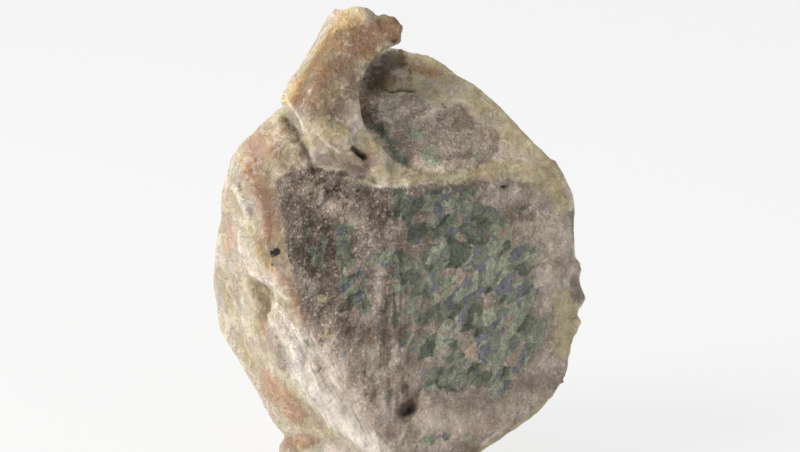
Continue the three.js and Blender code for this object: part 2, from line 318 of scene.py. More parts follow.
STROKES = [
    # The horn: gold down its left flank, pink-brown at its tip, grey where it curves in.
    Stroke(
        Skin.GOLD,
        ((-10.5, 42.6), (-12.7, 40.2), (-15.6, 37.3), (-17.2, 34), (-19.7, 30.7), (-22.1, 26.6)),
        2.8, 4, 0.8,
    ),
    Stroke(Skin.PINK, ((-7.8, 39.4), (-4.5, 39.6), (-1.6, 40)), 2.6, 2.5, 0.95),
    Stroke(Skin.PINK, ((-11.3, 36.7), (-9, 36.5), (-5.3, 36.9)), 2.4, 2.5, 0.7),
    Stroke(Skin.PINK, ((-12.1, 33.8), (-15.4, 31.2), (-17.4, 28.7)), 1.9, 2, 0.9),
    Stroke(Skin.PINK, ((-18, 25.8), (-21.1, 26.2)), 1.5, 2, 0.8),
    Stroke(Skin.OLIVE, ((-2.9, 42.2), (-1.2, 41.4)), 1, 1.4, 0.8),
    Stroke(Skin.OLIVE, ((-7, 35.7), (-5.7, 35.1)), 1.2, 1.5, 0.9),
    Stroke(Skin.OLIVE, ((-10.2, 32.8), (-11.9, 31.6)), 1.4, 1.4, 0.95),
    Stroke(Skin.OLIVE, ((-14.3, 27.9), (-16, 25.2), (-15.2, 21.7)), 1.5, 2, 0.9),
    Stroke(Skin.MAUVE, ((-4.5, 34.4), (-7, 31.6), (-9, 28.7)), 2, 2.6, 0.95),
    Stroke(Skin.MAUVE, ((-9.8, 27.9), (-11.5, 25.8), (-11.1, 23.8), (-13.5, 22.3)), 2.2, 2.6, 0.85),
    Stroke(Skin.MAUVE, ((-10.2, 20.9), (-9.2, 18.7)), 1.2, 1.6, 0.7),
    Stroke(Skin.OLIVE, ((-19.5, 17), (-15.2, 18.4), (-12.1, 19.1)), 1.7, 2.4, 0.8),
    Stroke(Skin.OLIVE, ((-7.8, 18.9), (-5.7, 16.6)), 1.5, 1.6, 0.85),
    Stroke(Skin.WHITE, ((-22.8, 24.8), (-20.9, 22.3), (-19.5, 19.7)), 0.6, 1.4, 0.75),
    Stroke(Skin.WHITE, ((-16.8, 18.9), (-15.2, 17), (-12.7, 15.4)), 0.6, 1.4, 0.6),
    Stroke(Skin.PINK, ((-14.3, 17.4), (-13.1, 16.2)), 0.6, 1.2, 0.7),
    Stroke(Skin.PINK, ((-6.1, 14.3), (-2.9, 13.5)), 0.9, 1.6, 0.6),
    Stroke(Skin.MAUVE, ((-16.8, 13.9), (-13.5, 13.5), (-10.7, 11.9), (-7.8, 11.3)), 1.7, 1.6, 0.9),
    Stroke(Skin.OLIVE, ((-4.1, 11.9), (-1.2, 11.1)), 1.2, 1.6, 0.8),
    # The crease under the horn's foot: dirt and painted shade.
    Stroke(Skin.DIRT_AND_SHADE, ((-17.2, 11.5), (-13.3, 11.1), (-9.8, 10.2), (-4.9, 9.2)), 0.6, 1.6, 0.8),
    Stroke(Skin.DIRT_AND_SHADE, ((-9.4, 15.8), (-7.2, 14.1)), 0.75, 0.7, 1),
    Stroke(Skin.RUST, ((0, 10.2), (1.6, 11.3), (2.9, 11.5)), 0.25, 0.6, 0.8),
    Stroke(Skin.RUST, ((-11.3, 34.4), (-9.8, 33.6), (-8.8, 33.4)), 0.2, 0.5, 0.8),
    Stroke(Skin.RUST, ((-8, 36.7), (-7, 36.1)), 0.2, 0.5, 0.8),
    Stroke(Skin.BROWN, ((-3.1, 39.4), (-9.8, 35.7), (-12.7, 30.7), (-16, 26.6)), 5.2, 5, 1),
    Stroke(Skin.DIRT_AND_SHADE, ((-10.2, 32.8), (-13.1, 29.9), (-16, 27.1)), 2.8, 4, 0.24),
    Stroke(Skin.BROWN, ((-14.3, 25), (-13.5, 18.9)), 3.4, 5, 0.6),
    Stroke(Skin.BROWN, ((-14.3, 38.1), (-19.3, 29.1), (-21.3, 23.8)), 3, 4, 1),
    Stroke(Skin.BROWN, ((-12.3, 15.6), (-8.2, 13.5)), 3, 4, 0.85),
    # The hollow behind the horn: dirt and rust, and painted shade where the horn overhangs it.
    Stroke(Skin.DIRT_AND_SHADE, ((-0.6, 35.3), (-3.3, 32.8), (-5.1, 29.1)), 2, 3.2, 1),
    Stroke(Skin.DIRT_AND_SHADE, ((-6.1, 27.5), (-7.4, 24.6)), 0.6, 2, 0.4),
    Stroke(Skin.DIRT_AND_SHADE, ((-1.6, 34), (0.4, 33)), 1.4, 2.4, 0.75),
    Stroke(Skin.RUST, ((0.4, 34.4), (2.5, 32), (4.9, 31.6), (7.8, 31.2)), 1, 2.4, 0.5),
    Stroke(Skin.RUST, ((1.6, 30.3), (3.3, 31.6)), 0.4, 1.2, 0.5),
    Stroke(Skin.DIRT_AND_SHADE, ((-0.6, 34.4), (0.8, 33.2)), 0.3, 0.5, 1),
    Stroke(Skin.DIRT_AND_SHADE, ((1.8, 32.4), (2.3, 31.4)), 0.3, 0.5, 1),
    Stroke(Skin.DIRT_AND_SHADE, ((8.6, 25), (9.6, 24.2)), 0.25, 0.6, 0.8),
    Stroke(Skin.DIRT_AND_SHADE, ((6.1, 15.6), (7.8, 16.4)), 0.2, 0.8, 0.5),
    # The shoulder.
    Stroke(Skin.PINK, ((-30.3, 16.8), (-27.5, 18.2), (-26.2, 16), (-29.5, 14.3)), 2.4, 3, 0.75),
    Stroke(Skin.PINK, ((-30.7, 11.1), (-29.5, 8.6), (-27.9, 6.1)), 2.8, 4, 0.75),
    Stroke(Skin.GOLD, ((-32.2, 13.9), (-31.6, 12.3)), 1.6, 2.4, 0.55),
    Stroke(Skin.GOLD, ((-23.8, 21.7), (-23.8, 19.3)), 1.2, 2, 0.7),
    Stroke(Skin.OLIVE, ((-22.3, 16.2), (-23.8, 13.9), (-25.4, 12.9)), 2.4, 3.5, 0.9),
    Stroke(Skin.MAUVE, ((-21.5, 11.9), (-23.8, 10.2)), 1.2, 2, 0.6),
    # The crease between the shoulder and the horn: dirt and painted shade, and a broad painted shadow on
    # its left.
    Stroke(
        Skin.DIRT_AND_SHADE,
        ((-23.4, 21.7), (-21.7, 19.7), (-19.9, 16.4), (-18.7, 13.5), (-17.8, 11.3)),
        0.6, 1.6, 1,
    ),
    Stroke(Skin.DIRT_AND_SHADE, ((-24.4, 21.5), (-22.8, 19.1), (-20.9, 15.8), (-19.3, 12.5)), 1.2, 4, 0.55),
    Stroke(Skin.WHITE, ((-35.7, 13.1), (-35.7, 10.2), (-35.1, 8.6)), 0.8, 1.4, 0.7),
    Stroke(Skin.BROWN, ((-29.5, 11.1), (-27.9, 8.6), (-25.8, 6.6)), 3, 4, 0.8),
    Stroke(Skin.BROWN, ((-25, 15.6), (-23, 13.1), (-21.3, 11.1)), 2.6, 4, 0.7),
    # The rounded band beside the broken face.
    Stroke(Skin.BROWN, ((-26, 6.1), (-25.4, -0.8), (-24.6, -6.6)), 2.8, 3.4, 0.95),
    Stroke(Skin.BROWN, ((-24.6, -6.6), (-22.1, -12.3), (-19.7, -18)), 2, 3.4, 0.6),
    Stroke(Skin.BROWN, ((-28.3, -3.3), (-27.7, -7.4)), 2, 3, 0.55),
    Stroke(Skin.PINK, ((-27.9, 5.3), (-27.3, 2.3), (-26.6, -1.2)), 2.4, 3.4, 0.75),
    Stroke(Skin.DIRT_AND_SHADE, ((-27.9, 6.1), (-27.1, 1.2), (-26.6, -2.9), (-27.1, -6.1)), 2.2, 3, 0.36),
    Stroke(Skin.GOLD, ((-28.7, -3.3), (-28.5, -5.9), (-27.1, -7.8)), 2, 3, 0.7),
    Stroke(
        Skin.PINK,
        ((-25.6, -9.2), (-23.6, -11.3), (-22.1, -13.9), (-21.1, -17), (-19.5, -19.5)),
        1.4, 2.4, 0.75,
    ),
    Stroke(Skin.OLIVE, ((-24.8, 0.8), (-24.4, -2.9), (-24.6, -6.6)), 0.8, 1.4, 0.8),
    Stroke(Skin.OLIVE, ((-30.5, 0), (-29.5, -3.3)), 1.2, 1.6, 0.6),
    Stroke(Skin.BLACK, ((-26.3, -5.7), (-25.3, -5.2)), 0.75, 0.3, 1),
    Stroke(Skin.BLACK, ((-26.2, -7.8), (-26, -8)), 0.22, 0.3, 0.8),
    # The pale left side, with its white ledges.
    Stroke(Skin.WHITE, ((-33.8, 8.2), (-32.6, 4.9), (-31.2, 1.4)), 0.5, 1, 1),
    Stroke(Skin.WHITE, ((-32.4, 6.6), (-31, 2.9), (-29.9, 0)), 0.5, 1.2, 0.6),
    Stroke(Skin.WHITE, ((-32.8, -0.8), (-32.6, -5.3)), 0.3, 0.9, 0.9),
    Stroke(Skin.WHITE, ((-32.2, -6.6), (-30.7, -9.4), (-28.3, -10.7)), 0.4, 1.2, 0.9),
    Stroke(Skin.WHITE, ((-28.3, -10.7), (-25.4, -12.7), (-23, -15.2)), 0.5, 1.2, 0.8),
    Stroke(Skin.WHITE, ((-31.6, -11.7), (-32.2, -15.2)), 0.3, 1, 0.7),
    Stroke(Skin.WHITE, ((-35.9, -11.5), (-33.6, -16.4), (-31.2, -21.3)), 0.6, 1.8, 0.6),
    Stroke(Skin.PINK, ((-35.1, 0.8), (-34.6, -2), (-35.3, -4.1)), 1.3, 1.8, 0.8),
    Stroke(Skin.RUST, ((-36.1, 2.3), (-34.9, 1.4), (-33.6, 0)), 0.15, 0.5, 0.6),
    Stroke(Skin.OLIVE, ((-35.5, -13.1), (-34.9, -16)), 2.4, 3, 0.7),
    Stroke(Skin.OLIVE, ((-29.9, -12.7), (-27.9, -14.3), (-27.9, -17.6), (-28.7, -20.5)), 2.6, 3, 1),
    Stroke(Skin.BROWN, ((-29.9, -12.7), (-27.1, -15.2), (-27.5, -18)), 2.4, 3.4, 0.7),
    Stroke(Skin.OLIVE, ((-32.8, -23.4), (-30.7, -27.9)), 2.6, 3, 0.7),
    Stroke(Skin.RUST, ((-28.3, -17.6), (-29.1, -16.8)), 0.6, 1.4, 0.5),
    Stroke(Skin.RUST, ((-27.9, -21.1), (-27.7, -21.5)), 0.35, 0.9, 0.95),
    Stroke(Skin.PINK, ((-28.9, -18.9), (-27.9, -22.1)), 0.7, 1.6, 0.6),
    Stroke(Skin.MAUVE, ((-26.4, -23), (-24.2, -27.5)), 2.4, 2.6, 0.95),
    Stroke(Skin.BROWN, ((-25.4, -23.4), (-23, -27.5)), 2.2, 4, 0.35),
    Stroke(Skin.BROWN, ((-19.5, 20.1), (-16, 17.6)), 1.6, 3, 0.35),
    Stroke(Skin.WHITE, ((-25, -16.4), (-22.1, -20.5), (-19.3, -23.4)), 0.7, 1.8, 0.8),
    Stroke(Skin.WHITE, ((-21.3, -25), (-20.5, -29.9), (-16.8, -34.9)), 2.6, 3.5, 0.9),
    Stroke(Skin.OLIVE, ((-22.5, -33), (-21.3, -34.9), (-19.7, -36.7)), 0.6, 1.2, 0.7),
    Stroke(Skin.OLIVE, ((-24.6, -40.2), (-16.4, -41.4)), 0.8, 1.6, 0.6),
    Stroke(Skin.PINK, ((-27.1, -32.4), (-24.2, -35.1), (-21.7, -37.7)), 3.2, 3, 0.95),
    Stroke(Skin.BROWN, ((-27.9, -31.2), (-24.6, -34.4), (-22.1, -37.3)), 2.2, 3.6, 0.22),
    Stroke(Skin.PINK, ((-28.3, -29.9), (-27.1, -31.6)), 1.2, 2, 0.6),
    Stroke(Skin.MAUVE, ((-18.9, -32.8), (-16.8, -34)), 1.1, 1.8, 0.5),
    Stroke(Skin.MAUVE, ((-11.1, -38.1), (-8.6, -39.8)), 1.4, 2.2, 0.45),
    Stroke(Skin.MAUVE, ((-6.1, -43), (-1.6, -43.5)), 1.8, 2.6, 0.5),
    Stroke(Skin.WHITE, ((-15.6, -35.7), (-11.5, -40.2), (-5.7, -45.1)), 3, 5, 0.85),
    # The lobe at the foot.
    Stroke(Skin.PINK, ((-23, -44.7), (-18, -43.9)), 1.8, 2.4, 0.8),
    Stroke(Skin.RUST, ((-20.5, -42.6), (-16, -43.9)), 0.5, 1.8, 0.5),
    Stroke(Skin.BROWN, ((-23, -44.7), (-16.8, -44.3)), 2, 4, 0.5),
    Stroke(Skin.OLIVE, ((-22.5, -43.3), (-20.9, -44.1)), 0.6, 1.6, 0.5),
    # The upper face: an olive margin round a grey middle with green in it.
    Stroke(
        Skin.OLIVE,
        ((2, 34.4), (8.2, 32.8), (14.6, 27.9), (20.5, 22.1), (26.2, 16.4), (30.7, 13.1)),
        2.8, 3, 0.85,
    ),
    Stroke(Skin.OLIVE, ((-3.3, 29.5), (-0.4, 29.5), (4.9, 28.7), (9, 26.2)), 2, 2, 0.95),
    Stroke(Skin.MAUVE, ((11.3, 31.6), (16.4, 27.1)), 0.7, 1.6, 0.5),
    Stroke(Skin.PINK, ((2, 32.8), (4.9, 32), (7.4, 31.2)), 1.6, 2.5, 0.8),
    Stroke(Skin.RUST, ((23.4, 13.9), (25.4, 12.9)), 0.7, 1.8, 0.45),
    Stroke(Skin.RUST, ((29.1, 12.3), (30.7, 10.7), (32.4, 8.6)), 0.8, 2, 0.45),
    Stroke(Skin.DIRT_AND_SHADE, ((-3.9, 28.1), (-1.8, 27.6), (0.2, 28.2), (2.7, 27.9)), 0.15, 0.5, 0.9),
    Stroke(Skin.GREEN, ((-4.5, 20.5), (-2.9, 18), (-1.8, 16.4)), 0.8, 1, 0.95),
    Stroke(Skin.GREEN, ((3.7, 18.9), (4.9, 16), (6.6, 13.5)), 1.5, 1.8, 0.8),
    Stroke(Skin.GREEN, ((-0.8, 15.2), (0.8, 13.9)), 0.9, 1.2, 0.8),
    Stroke(Skin.OLIVE, ((9.8, 27.5), (17.6, 21.3), (23, 15.6), (28.7, 10.2)), 3, 3.5, 0.35),
    Stroke(Skin.PALE, ((-3.3, 22.1), (-1.6, 20.9)), 0.8, 0.9, 1.4),
    Stroke(Skin.PALE, ((5.7, 21.7), (6.6, 22.5)), 0.4, 0.8, 1.2),
    Stroke(Skin.PALE, ((-4.1, 16), (-2.5, 15.2)), 1, 0.8, 0.9),
    Stroke(Skin.PALE, ((3.3, 13.1), (8.2, 11.9), (13.5, 12.7)), 2.2, 3, 1.6),
    # Painted highlight: the white streak along the rib's lower edge, at its left end.
    Stroke(Skin.WHITE, ((-5.3, 8.2), (-1.6, 8.1), (1.6, 8.5)), 0.35, 0.8, 0.75),
    Stroke(Skin.WHITE, ((1.6, 8.5), (7.4, 9.2)), 0.25, 0.9, 0.6),
    Stroke(Skin.RIM, ((0, 9.2), (8.2, 9.8), (16.4, 10.6), (24.6, 11.5), (30.3, 12.7)), 0.4, 0.8, 0.9),
    Stroke(Skin.OLIVE, ((0, 10.2), (8.2, 10.7), (16.4, 11.3), (24.6, 12.1)), 2.2, 2.4, 0.9),
    Stroke(Skin.BROWN, ((0, 33.6), (4.1, 31.6), (9.4, 28.3)), 3.4, 4, 0.25),
    Stroke(Skin.BROWN, ((-3.3, 29.9), (-6.1, 25.8)), 3, 4, 0.9),
    Stroke(Skin.BROWN, ((8.2, 32.8), (16.4, 26.6), (22.5, 19.7), (28.7, 13.5)), 3, 4, 0.2),
    Stroke(
        Skin.BROWN,
        ((-3.3, 8.6), (0.8, 9.2), (8.2, 9.8), (16.4, 10.5), (24.6, 11.3), (30.7, 12.5)),
        1.8, 2.4, 0.45,
    ),
    Stroke(Skin.WHITE, ((6.1, 11.5), (10.2, 11.9), (13.5, 11.5)), 0.8, 1.6, 0.55),
    Stroke(Skin.DIRT_AND_SHADE, ((10.2, 11.9), (16.4, 12.2), (24.6, 12.9)), 0.15, 0.6, 0.4),
    Stroke(Skin.BROWN, ((30.3, 9.4), (32.8, 4.5)), 2.4, 3, 0.6),
    # The olive patches along the right edge.
    Stroke(Skin.OLIVE, ((26.6, 9.8), (30.3, 8.6), (33.2, 5.3)), 2, 2, 0.95),
    Stroke(Skin.OLIVE, ((34.9, -14.3), (35.7, -18.9), (35.3, -23.8)), 1.6, 1.8, 0.95),
    Stroke(Skin.RIM, ((34, -15.2), (34.9, -19.3), (33.8, -24.2)), 2.8, 2.6, 0.95),
    Stroke(Skin.RIM, ((29.5, 10.2), (32, 7.8), (33.4, 4.1)), 2, 2.6, 0.7),
    Stroke(Skin.RIM, ((30.3, -35.7), (26.6, -38.5), (21.5, -42.6)), 1, 2.2, 0.5),
    Stroke(Skin.RIM, ((34.4, -2.9), (35.1, -6.1)), 0.8, 1.8, 0.4),
    Stroke(Skin.OLIVE, ((31.2, -35.7), (27.5, -38.5), (20.5, -43.5), (14.3, -45.9)), 1.4, 1.8, 0.85),
    # The broken face: dark and coarse at the left, green flakes at the right.
    Stroke(Skin.SOOT, ((-21.3, 7.4), (-19.3, 6.8)), 0.9, 1.6, 0.9),
    Stroke(Skin.SOOT, ((-15.2, 6.1), (-13.5, 5.5)), 0.9, 1.6, 0.9),
    Stroke(Skin.SOOT, ((-17.2, 2), (-15.6, 0.4), (-16.4, -2.5), (-14.3, -4.5)), 1.6, 3, 0.9),
    Stroke(Skin.SOOT, ((-20.9, 3.7), (-19.7, -0.8), (-18.4, -6.6)), 4.8, 5, 1.05),
    Stroke(Skin.SOOT, ((-18, -7.4), (-16.8, -13.1)), 5, 6, 0.5),
    Stroke(Skin.SOOT, ((-4.9, 6.1), (-3.7, -2.9), (-2.5, -13.1)), 4, 6, 0.3),
    Stroke(Skin.SOOT, ((-12.3, -4.9), (-10.2, -15.2)), 5, 6, 0.35),
    Stroke(Skin.SOOT, ((-22.8, -4.5), (-22.1, -6.1)), 0.9, 2, 0.8),
    Stroke(Skin.SOOT, ((-5.7, 5.3), (-4.1, 0), (-3.3, -4.1)), 1.8, 4, 0.45),
    Stroke(Skin.SOOT, ((-19.3, -16), (-18, -18)), 1.2, 2.4, 0.8),
    Stroke(Skin.SOOT, ((-10.2, -21.3), (-8.2, -23.4)), 1.6, 3, 0.5),
    Stroke(Skin.SOOT, ((-0.4, -34), (1.2, -36.1)), 1, 2.4, 0.4),
    Stroke(Skin.PALE, ((-5.7, -27.5), (-2.5, -34)), 3, 5, 0.4),
    Stroke(Skin.DIRT_AND_SHADE, ((-15.4, 7.6), (-14.8, 7.2)), 0.45, 0.7, 0.9),
    Stroke(Skin.DIRT_AND_SHADE, ((-8.6, 7.2), (-7.2, 7)), 0.4, 0.7, 0.9),
    Stroke(Skin.DIRT_AND_SHADE, ((-13.1, 6.1), (-12.5, 5.5)), 0.4, 0.6, 0.8),
    Stroke(Skin.DIRT_AND_SHADE, ((-2.5, 2.5), (-2, 2)), 0.4, 0.7, 0.8),
    Stroke(Skin.DIRT_AND_SHADE, ((-22.8, -6.1), (-22.3, -7.4)), 0.4, 0.7, 0.8),
    Stroke(Skin.DIRT_AND_SHADE, ((-20.1, 2), (-16.8, 0.8)), 0.4, 1.2, 0.45),
    Stroke(Skin.DIRT_AND_SHADE, ((-10.7, -21.3), (-10.2, -23)), 0.4, 0.8, 0.6),
    Stroke(Skin.DIRT_AND_SHADE, ((-7.4, -29.9), (-7, -30.7)), 0.5, 0.8, 0.6),
    Stroke(Skin.PALE, ((-15.2, 4.9), (-11.9, 3.3), (-8.6, 0.6)), 1.8, 2.6, 0.95),
    Stroke(Skin.PALE, ((-20.5, 7.4), (-17.6, 6.6)), 1.2, 2.4, 0.7),
    Stroke(Skin.PALE, ((-20.5, -9), (-18.9, -12.3)), 1.6, 2.4, 0.5),
    Stroke(Skin.PALE, ((-5.3, -7.4), (-4.1, -13.1), (-5.3, -17.2)), 1.2, 3, 0.6),
    Stroke(Skin.PALE, ((-13.1, -7.4), (-11.1, -11.9)), 0.7, 1.8, 0.5),
    # Painted light: lifts the upper face where the horn's shadow falls on it.
    Stroke(Skin.PALE, ((-2.5, 25), (0.8, 23.8), (7.8, 24.2)), 3.4, 5, 1.75),
    Stroke(Skin.PALE, ((8.2, 23.4), (14.3, 17.6), (2, 17.6)), 6, 6, 0.95),
    Stroke(Skin.PALE, ((10.7, 23.8), (14.3, 21.3)), 2.4, 3, 0.7),
    Stroke(Skin.PALE, ((29.7, -0.8), (32, -11.1), (31.2, -21.3), (28.7, -31.6), (20.5, -39.8)), 4, 7, 0.6),
    Stroke(Skin.PALE, ((6.1, -39.8), (16.4, -40.6)), 4, 6, 0.95),
    Stroke(Skin.PALE, ((8.2, -9), (20.5, -11.1), (16.4, -23.4), (8.2, -27.5)), 5, 6, 0.4),
    Stroke(Skin.PALE, ((24.6, 7), (29.7, 3.9), (32, -2.9)), 2, 4, 0.3),
    Stroke(Skin.PALE, ((32.8, 2.9), (34.2, -4.9), (34.6, -13.5)), 2.4, 3.4, 0.8),
    Stroke(Skin.PALE, ((0, -39.8), (6.1, -43)), 1.8, 4, 0.5),
    Stroke(Skin.PALE, ((-16.8, -25.8), (-13.9, -31.6), (-8.2, -37.7), (0, -43.9)), 4, 7, 0.85),
    Stroke(Skin.PALE, ((-20.5, -23.4), (-18.9, -29.9), (-16, -36.5), (-10.2, -43)), 4, 6, 1.3),
    Stroke(Skin.GREEN, ((-19.5, 0.8), (-19.3, -0.8)), 0.7, 1, 0.9),
    Stroke(Skin.GREEN, ((-17.6, -5.3), (-16.8, -7)), 1.5, 1.6, 1),
    Stroke(Skin.GREEN, ((-15.6, -2.9), (-15.2, -4.5)), 0.9, 1, 1),
    Stroke(Skin.GREEN, ((-11.7, -1.2), (-11.1, -4.9), (-10.2, -8.6), (-8.8, -11.5)), 1.9, 1.8, 1),
    Stroke(Skin.GREEN, ((-3.3, -7.4), (-0.6, -6.1)), 1.5, 1.6, 1),
    Stroke(Skin.GREEN, ((-11.3, -12.7), (-8.6, -14.6), (-7, -17.2)), 1.8, 1.4, 1.1),
    Stroke(Skin.GREEN, ((0.4, 3.7), (2.9, -2)), 2.2, 2.4, 0.95),
    Stroke(Skin.GREEN, ((0.8, -9), (2.5, -15.2)), 2, 2.4, 0.9),
    Stroke(Skin.GREEN, ((0, 6.1), (4.1, 5.3)), 1, 1.6, 0.9),
    Stroke(Skin.GREEN, ((6.1, 4.9), (11.9, 4.7), (16, 2.7), (19.3, 0.4)), 2.6, 3.2, 0.95),
    Stroke(Skin.GREEN, ((7.4, 0.8), (14.3, -2), (19.7, -2.5)), 3.4, 3.2, 0.92),
    Stroke(Skin.GREEN, ((7.4, -7.4), (16.4, -6.1), (23.8, -6.6)), 3.6, 3.2, 0.9),
    Stroke(Skin.GREEN, ((2, -11.9), (10.2, -12.7), (18.4, -11.9), (25, -14.3)), 3.6, 3.2, 0.92),
    Stroke(Skin.GREEN, ((2.9, -17.6), (10.7, -18.9), (18.4, -18.9), (25.4, -20.5)), 3.8, 3.2, 0.92),
    Stroke(Skin.GREEN, ((3.7, -24.2), (10.7, -25.4), (18.4, -25.4), (25, -25.8)), 3.6, 3.2, 0.92),
    Stroke(Skin.GREEN, ((4.9, -30.3), (11.5, -31.6), (18.9, -31.2), (23, -29.9)), 3, 3.2, 0.92),
    Stroke(Skin.GREEN, ((6.1, -43.9), (9, -43.9)), 1, 1.4, 0.8),
    Stroke(Skin.PALE, ((14.8, -7.8), (17.2, -6.6), (19.7, -4.9)), 0.3, 0.7, 0.9),
    Stroke(Skin.RIM, ((12.9, -8.8), (14.6, -8.4)), 0.25, 0.35, 1),
    Stroke(Skin.RIM, ((-16, 10.5), (-11.3, 9.7), (-5.3, 8.4)), 0.2, 0.6, 0.8),
    Stroke(Skin.RIM, ((-16.4, -14.6), (-14.8, -15.2)), 0.6, 0.6, 0.95),
    Stroke(Skin.RIM, ((-16, -22.5), (-13.5, -22.8)), 0.4, 0.5, 0.95),
    Stroke(Skin.RIM, ((-15, -20.3), (-15.2, -22.1)), 0.35, 0.6, 0.8),
    Stroke(Skin.PINK, ((-6.1, -22.1), (-5.7, -23.4)), 0.5, 0.7, 0.9),
    Stroke(Skin.RUST, ((-5.7, -20.7), (-4.9, -20.9)), 0.25, 0.5, 0.8),
    Stroke(Skin.BLACK, ((1.4, -38.3), (2.3, -37.9)), 0.6, 1.6, 0.9),
    Stroke(Skin.BLACK, ((20.7, 8), (21.7, 8.1)), 0.35, 0.4, 0.85),
    # Upright grooves, and the splintery ledges of the pale side.
    Stroke(Skin.STREAK, ((-2.5, -13.1), (-2.7, -23.4), (-2, -35.7)), 2.6, 3, 1),
    Stroke(Skin.STREAK, ((0.4, -4.9), (0, -21.3), (0.8, -33.6)), 1.6, 2, 0.9),
    Stroke(Skin.FIBRE, ((-20.5, -23.4), (-18, -30.7), (-13.5, -37.7), (-8.2, -43.9)), 3.2, 4.5, 0.9),
    Stroke(Skin.FIBRE, ((-25.4, -17.2), (-18.4, -24.4), (-12.3, -30.7)), 2.6, 3, 1),
]  # fmt: skip

CARVINGS = [
    # The rib along the top of the broken face, and the slot above it.
    Carving(((0.8, 9.4), (8.2, 10.0), (16.4, 10.7), (24.6, 11.5), (31.2, 13.1)), 0.8, 0.45),
    Carving(((-9.4, 15.8), (-7.2, 14.1)), 0.6, -1.6),
    Carving(((-3.9, 28.1), (-1.8, 27.6), (0.2, 28.2), (2.7, 27.9)), 0.4, -0.5),
    Carving(((-23.8, 21.7), (-20.1, 16.2), (-18.0, 11.5)), 0.8, -0.5),
    # The horn's crown, the notch in its tip and the gap over the nub behind it.
    Carving(((-13.0, 44.2), (-9.0, 44.2), (-6.5, 43.4)), 2.5, 0.65),
    Carving(((-2.6, 42.8), (-0.6, 41.6)), 1.5, 0.6),
    Carving(((-4.6, 43.2), (-4.2, 42.0)), 0.7, -0.5),
    Carving(((-1.0, 38.2), (1.2, 38.9)), 0.6, -0.9),
    # Pits.
    Carving(((-26.3, -5.7), (-25.3, -5.2)), 0.9, -0.4),
    Carving(((1.4, -38.3), (2.3, -37.9)), 1.2, -1.2),
    Carving(((20.7, 8.0), (21.7, 8.1)), 0.5, -0.6),
    # Upright grooves.
    Carving(((-2.5, -13.1), (-2.7, -23.4), (-2.1, -35.7)), 0.8, -0.4),
    Carving(((0.4, -4.9), (0.0, -21.3), (0.8, -33.6)), 0.6, -0.3),
    Carving(((1.4, -33.0), (1.8, -37.0)), 0.9, -0.5),
    # White ledges.
    Carving(((-33.8, 8.2), (-32.4, 4.5), (-31.2, 1.4)), 0.7, 0.5),
    Carving(((-33.0, 8.2), (-31.6, 4.5), (-30.2, 1.4)), 0.5, -0.4),
    Carving(((-32.8, -1.6), (-32.6, -5.3)), 0.6, 0.35),
    Carving(((-31.6, -7.4), (-30.3, -9.8), (-28.3, -10.9)), 0.6, 0.4),
    Carving(((-28.3, -10.9), (-25.6, -12.5), (-23.4, -14.8)), 0.6, 0.25),
    Carving(((-29.0, -12.2), (-26.2, -13.9), (-24.4, -16.4)), 0.7, -0.3),
    Carving(((-30.2, -13.0), (-28.4, -14.6), (-28.3, -18.0)), 2.0, -0.4),
    Carving(((-31.4, -11.7), (-32.2, -15.2)), 0.7, 0.45),
    Carving(((-25.0, -16.4), (-22.1, -20.5), (-19.3, -23.4)), 0.6, 0.55),
    Carving(((-26.6, -18.4), (-23.6, -22.6), (-21.8, -25.2)), 0.7, 0.5),
    Carving(((-21.3, -25.4), (-20.5, -29.9), (-16.8, -34.9)), 1.2, 0.5),
    Carving(((-18.6, -28.6), (-15.8, -33.0), (-12.0, -37.0)), 0.8, 0.4),
    # Scallops along the right edge.
    Carving(((36.5, -8.4), (36.5, -8.6)), 1.6, 0.8),
    Carving(((35.9, -10.9), (35.9, -11.1)), 1.2, -0.8),
    Carving(((37.5, -14.6), (37.5, -14.9)), 2.0, 0.7),
    Carving(((36.7, -17.6), (36.7, -17.8)), 1.3, -0.8),
    Carving(((36.7, -20.1), (36.7, -20.4)), 1.8, 0.6),
]  # fmt: skip


# ---------------------------------------------------------------- the finish


@dataclass(frozen=True)
class Grain:
    """The patterns that the parts of the finish share, as sockets of its nodes.

    Attributes:
        at: Where, as a face-on place.
        slant: The same place in the flakes' own frame.
        cloud: Broad clouds.
        sugar: The sugary grain.
        three: Mottling, specks and the sugary grain, each around 0.
        crystal: A level for each crystal.
        chip: A level for each chip.
        flake: A level for each flake.
        step: Another level for each flake.
        near: How far it is to the middle of the nearest flake.
        strand: The pale side's splinters.
        skin: 1 where a thin skin still covers the rind, and 0 where it has peeled off.
        sway: Noise around 0 that breaks the edges of stains up.
        sway_too: Another such noise.
        coarse: How coarse the core is.
    """

    at: Socket
    slant: Socket
    cloud: Socket
    sugar: Socket
    three: Socket
    crystal: Socket
    chip: Socket
    flake: Socket
    step: Socket
    near: Socket
    strand: Socket
    skin: Socket
    sway: Socket
    sway_too: Socket
    coarse: Socket


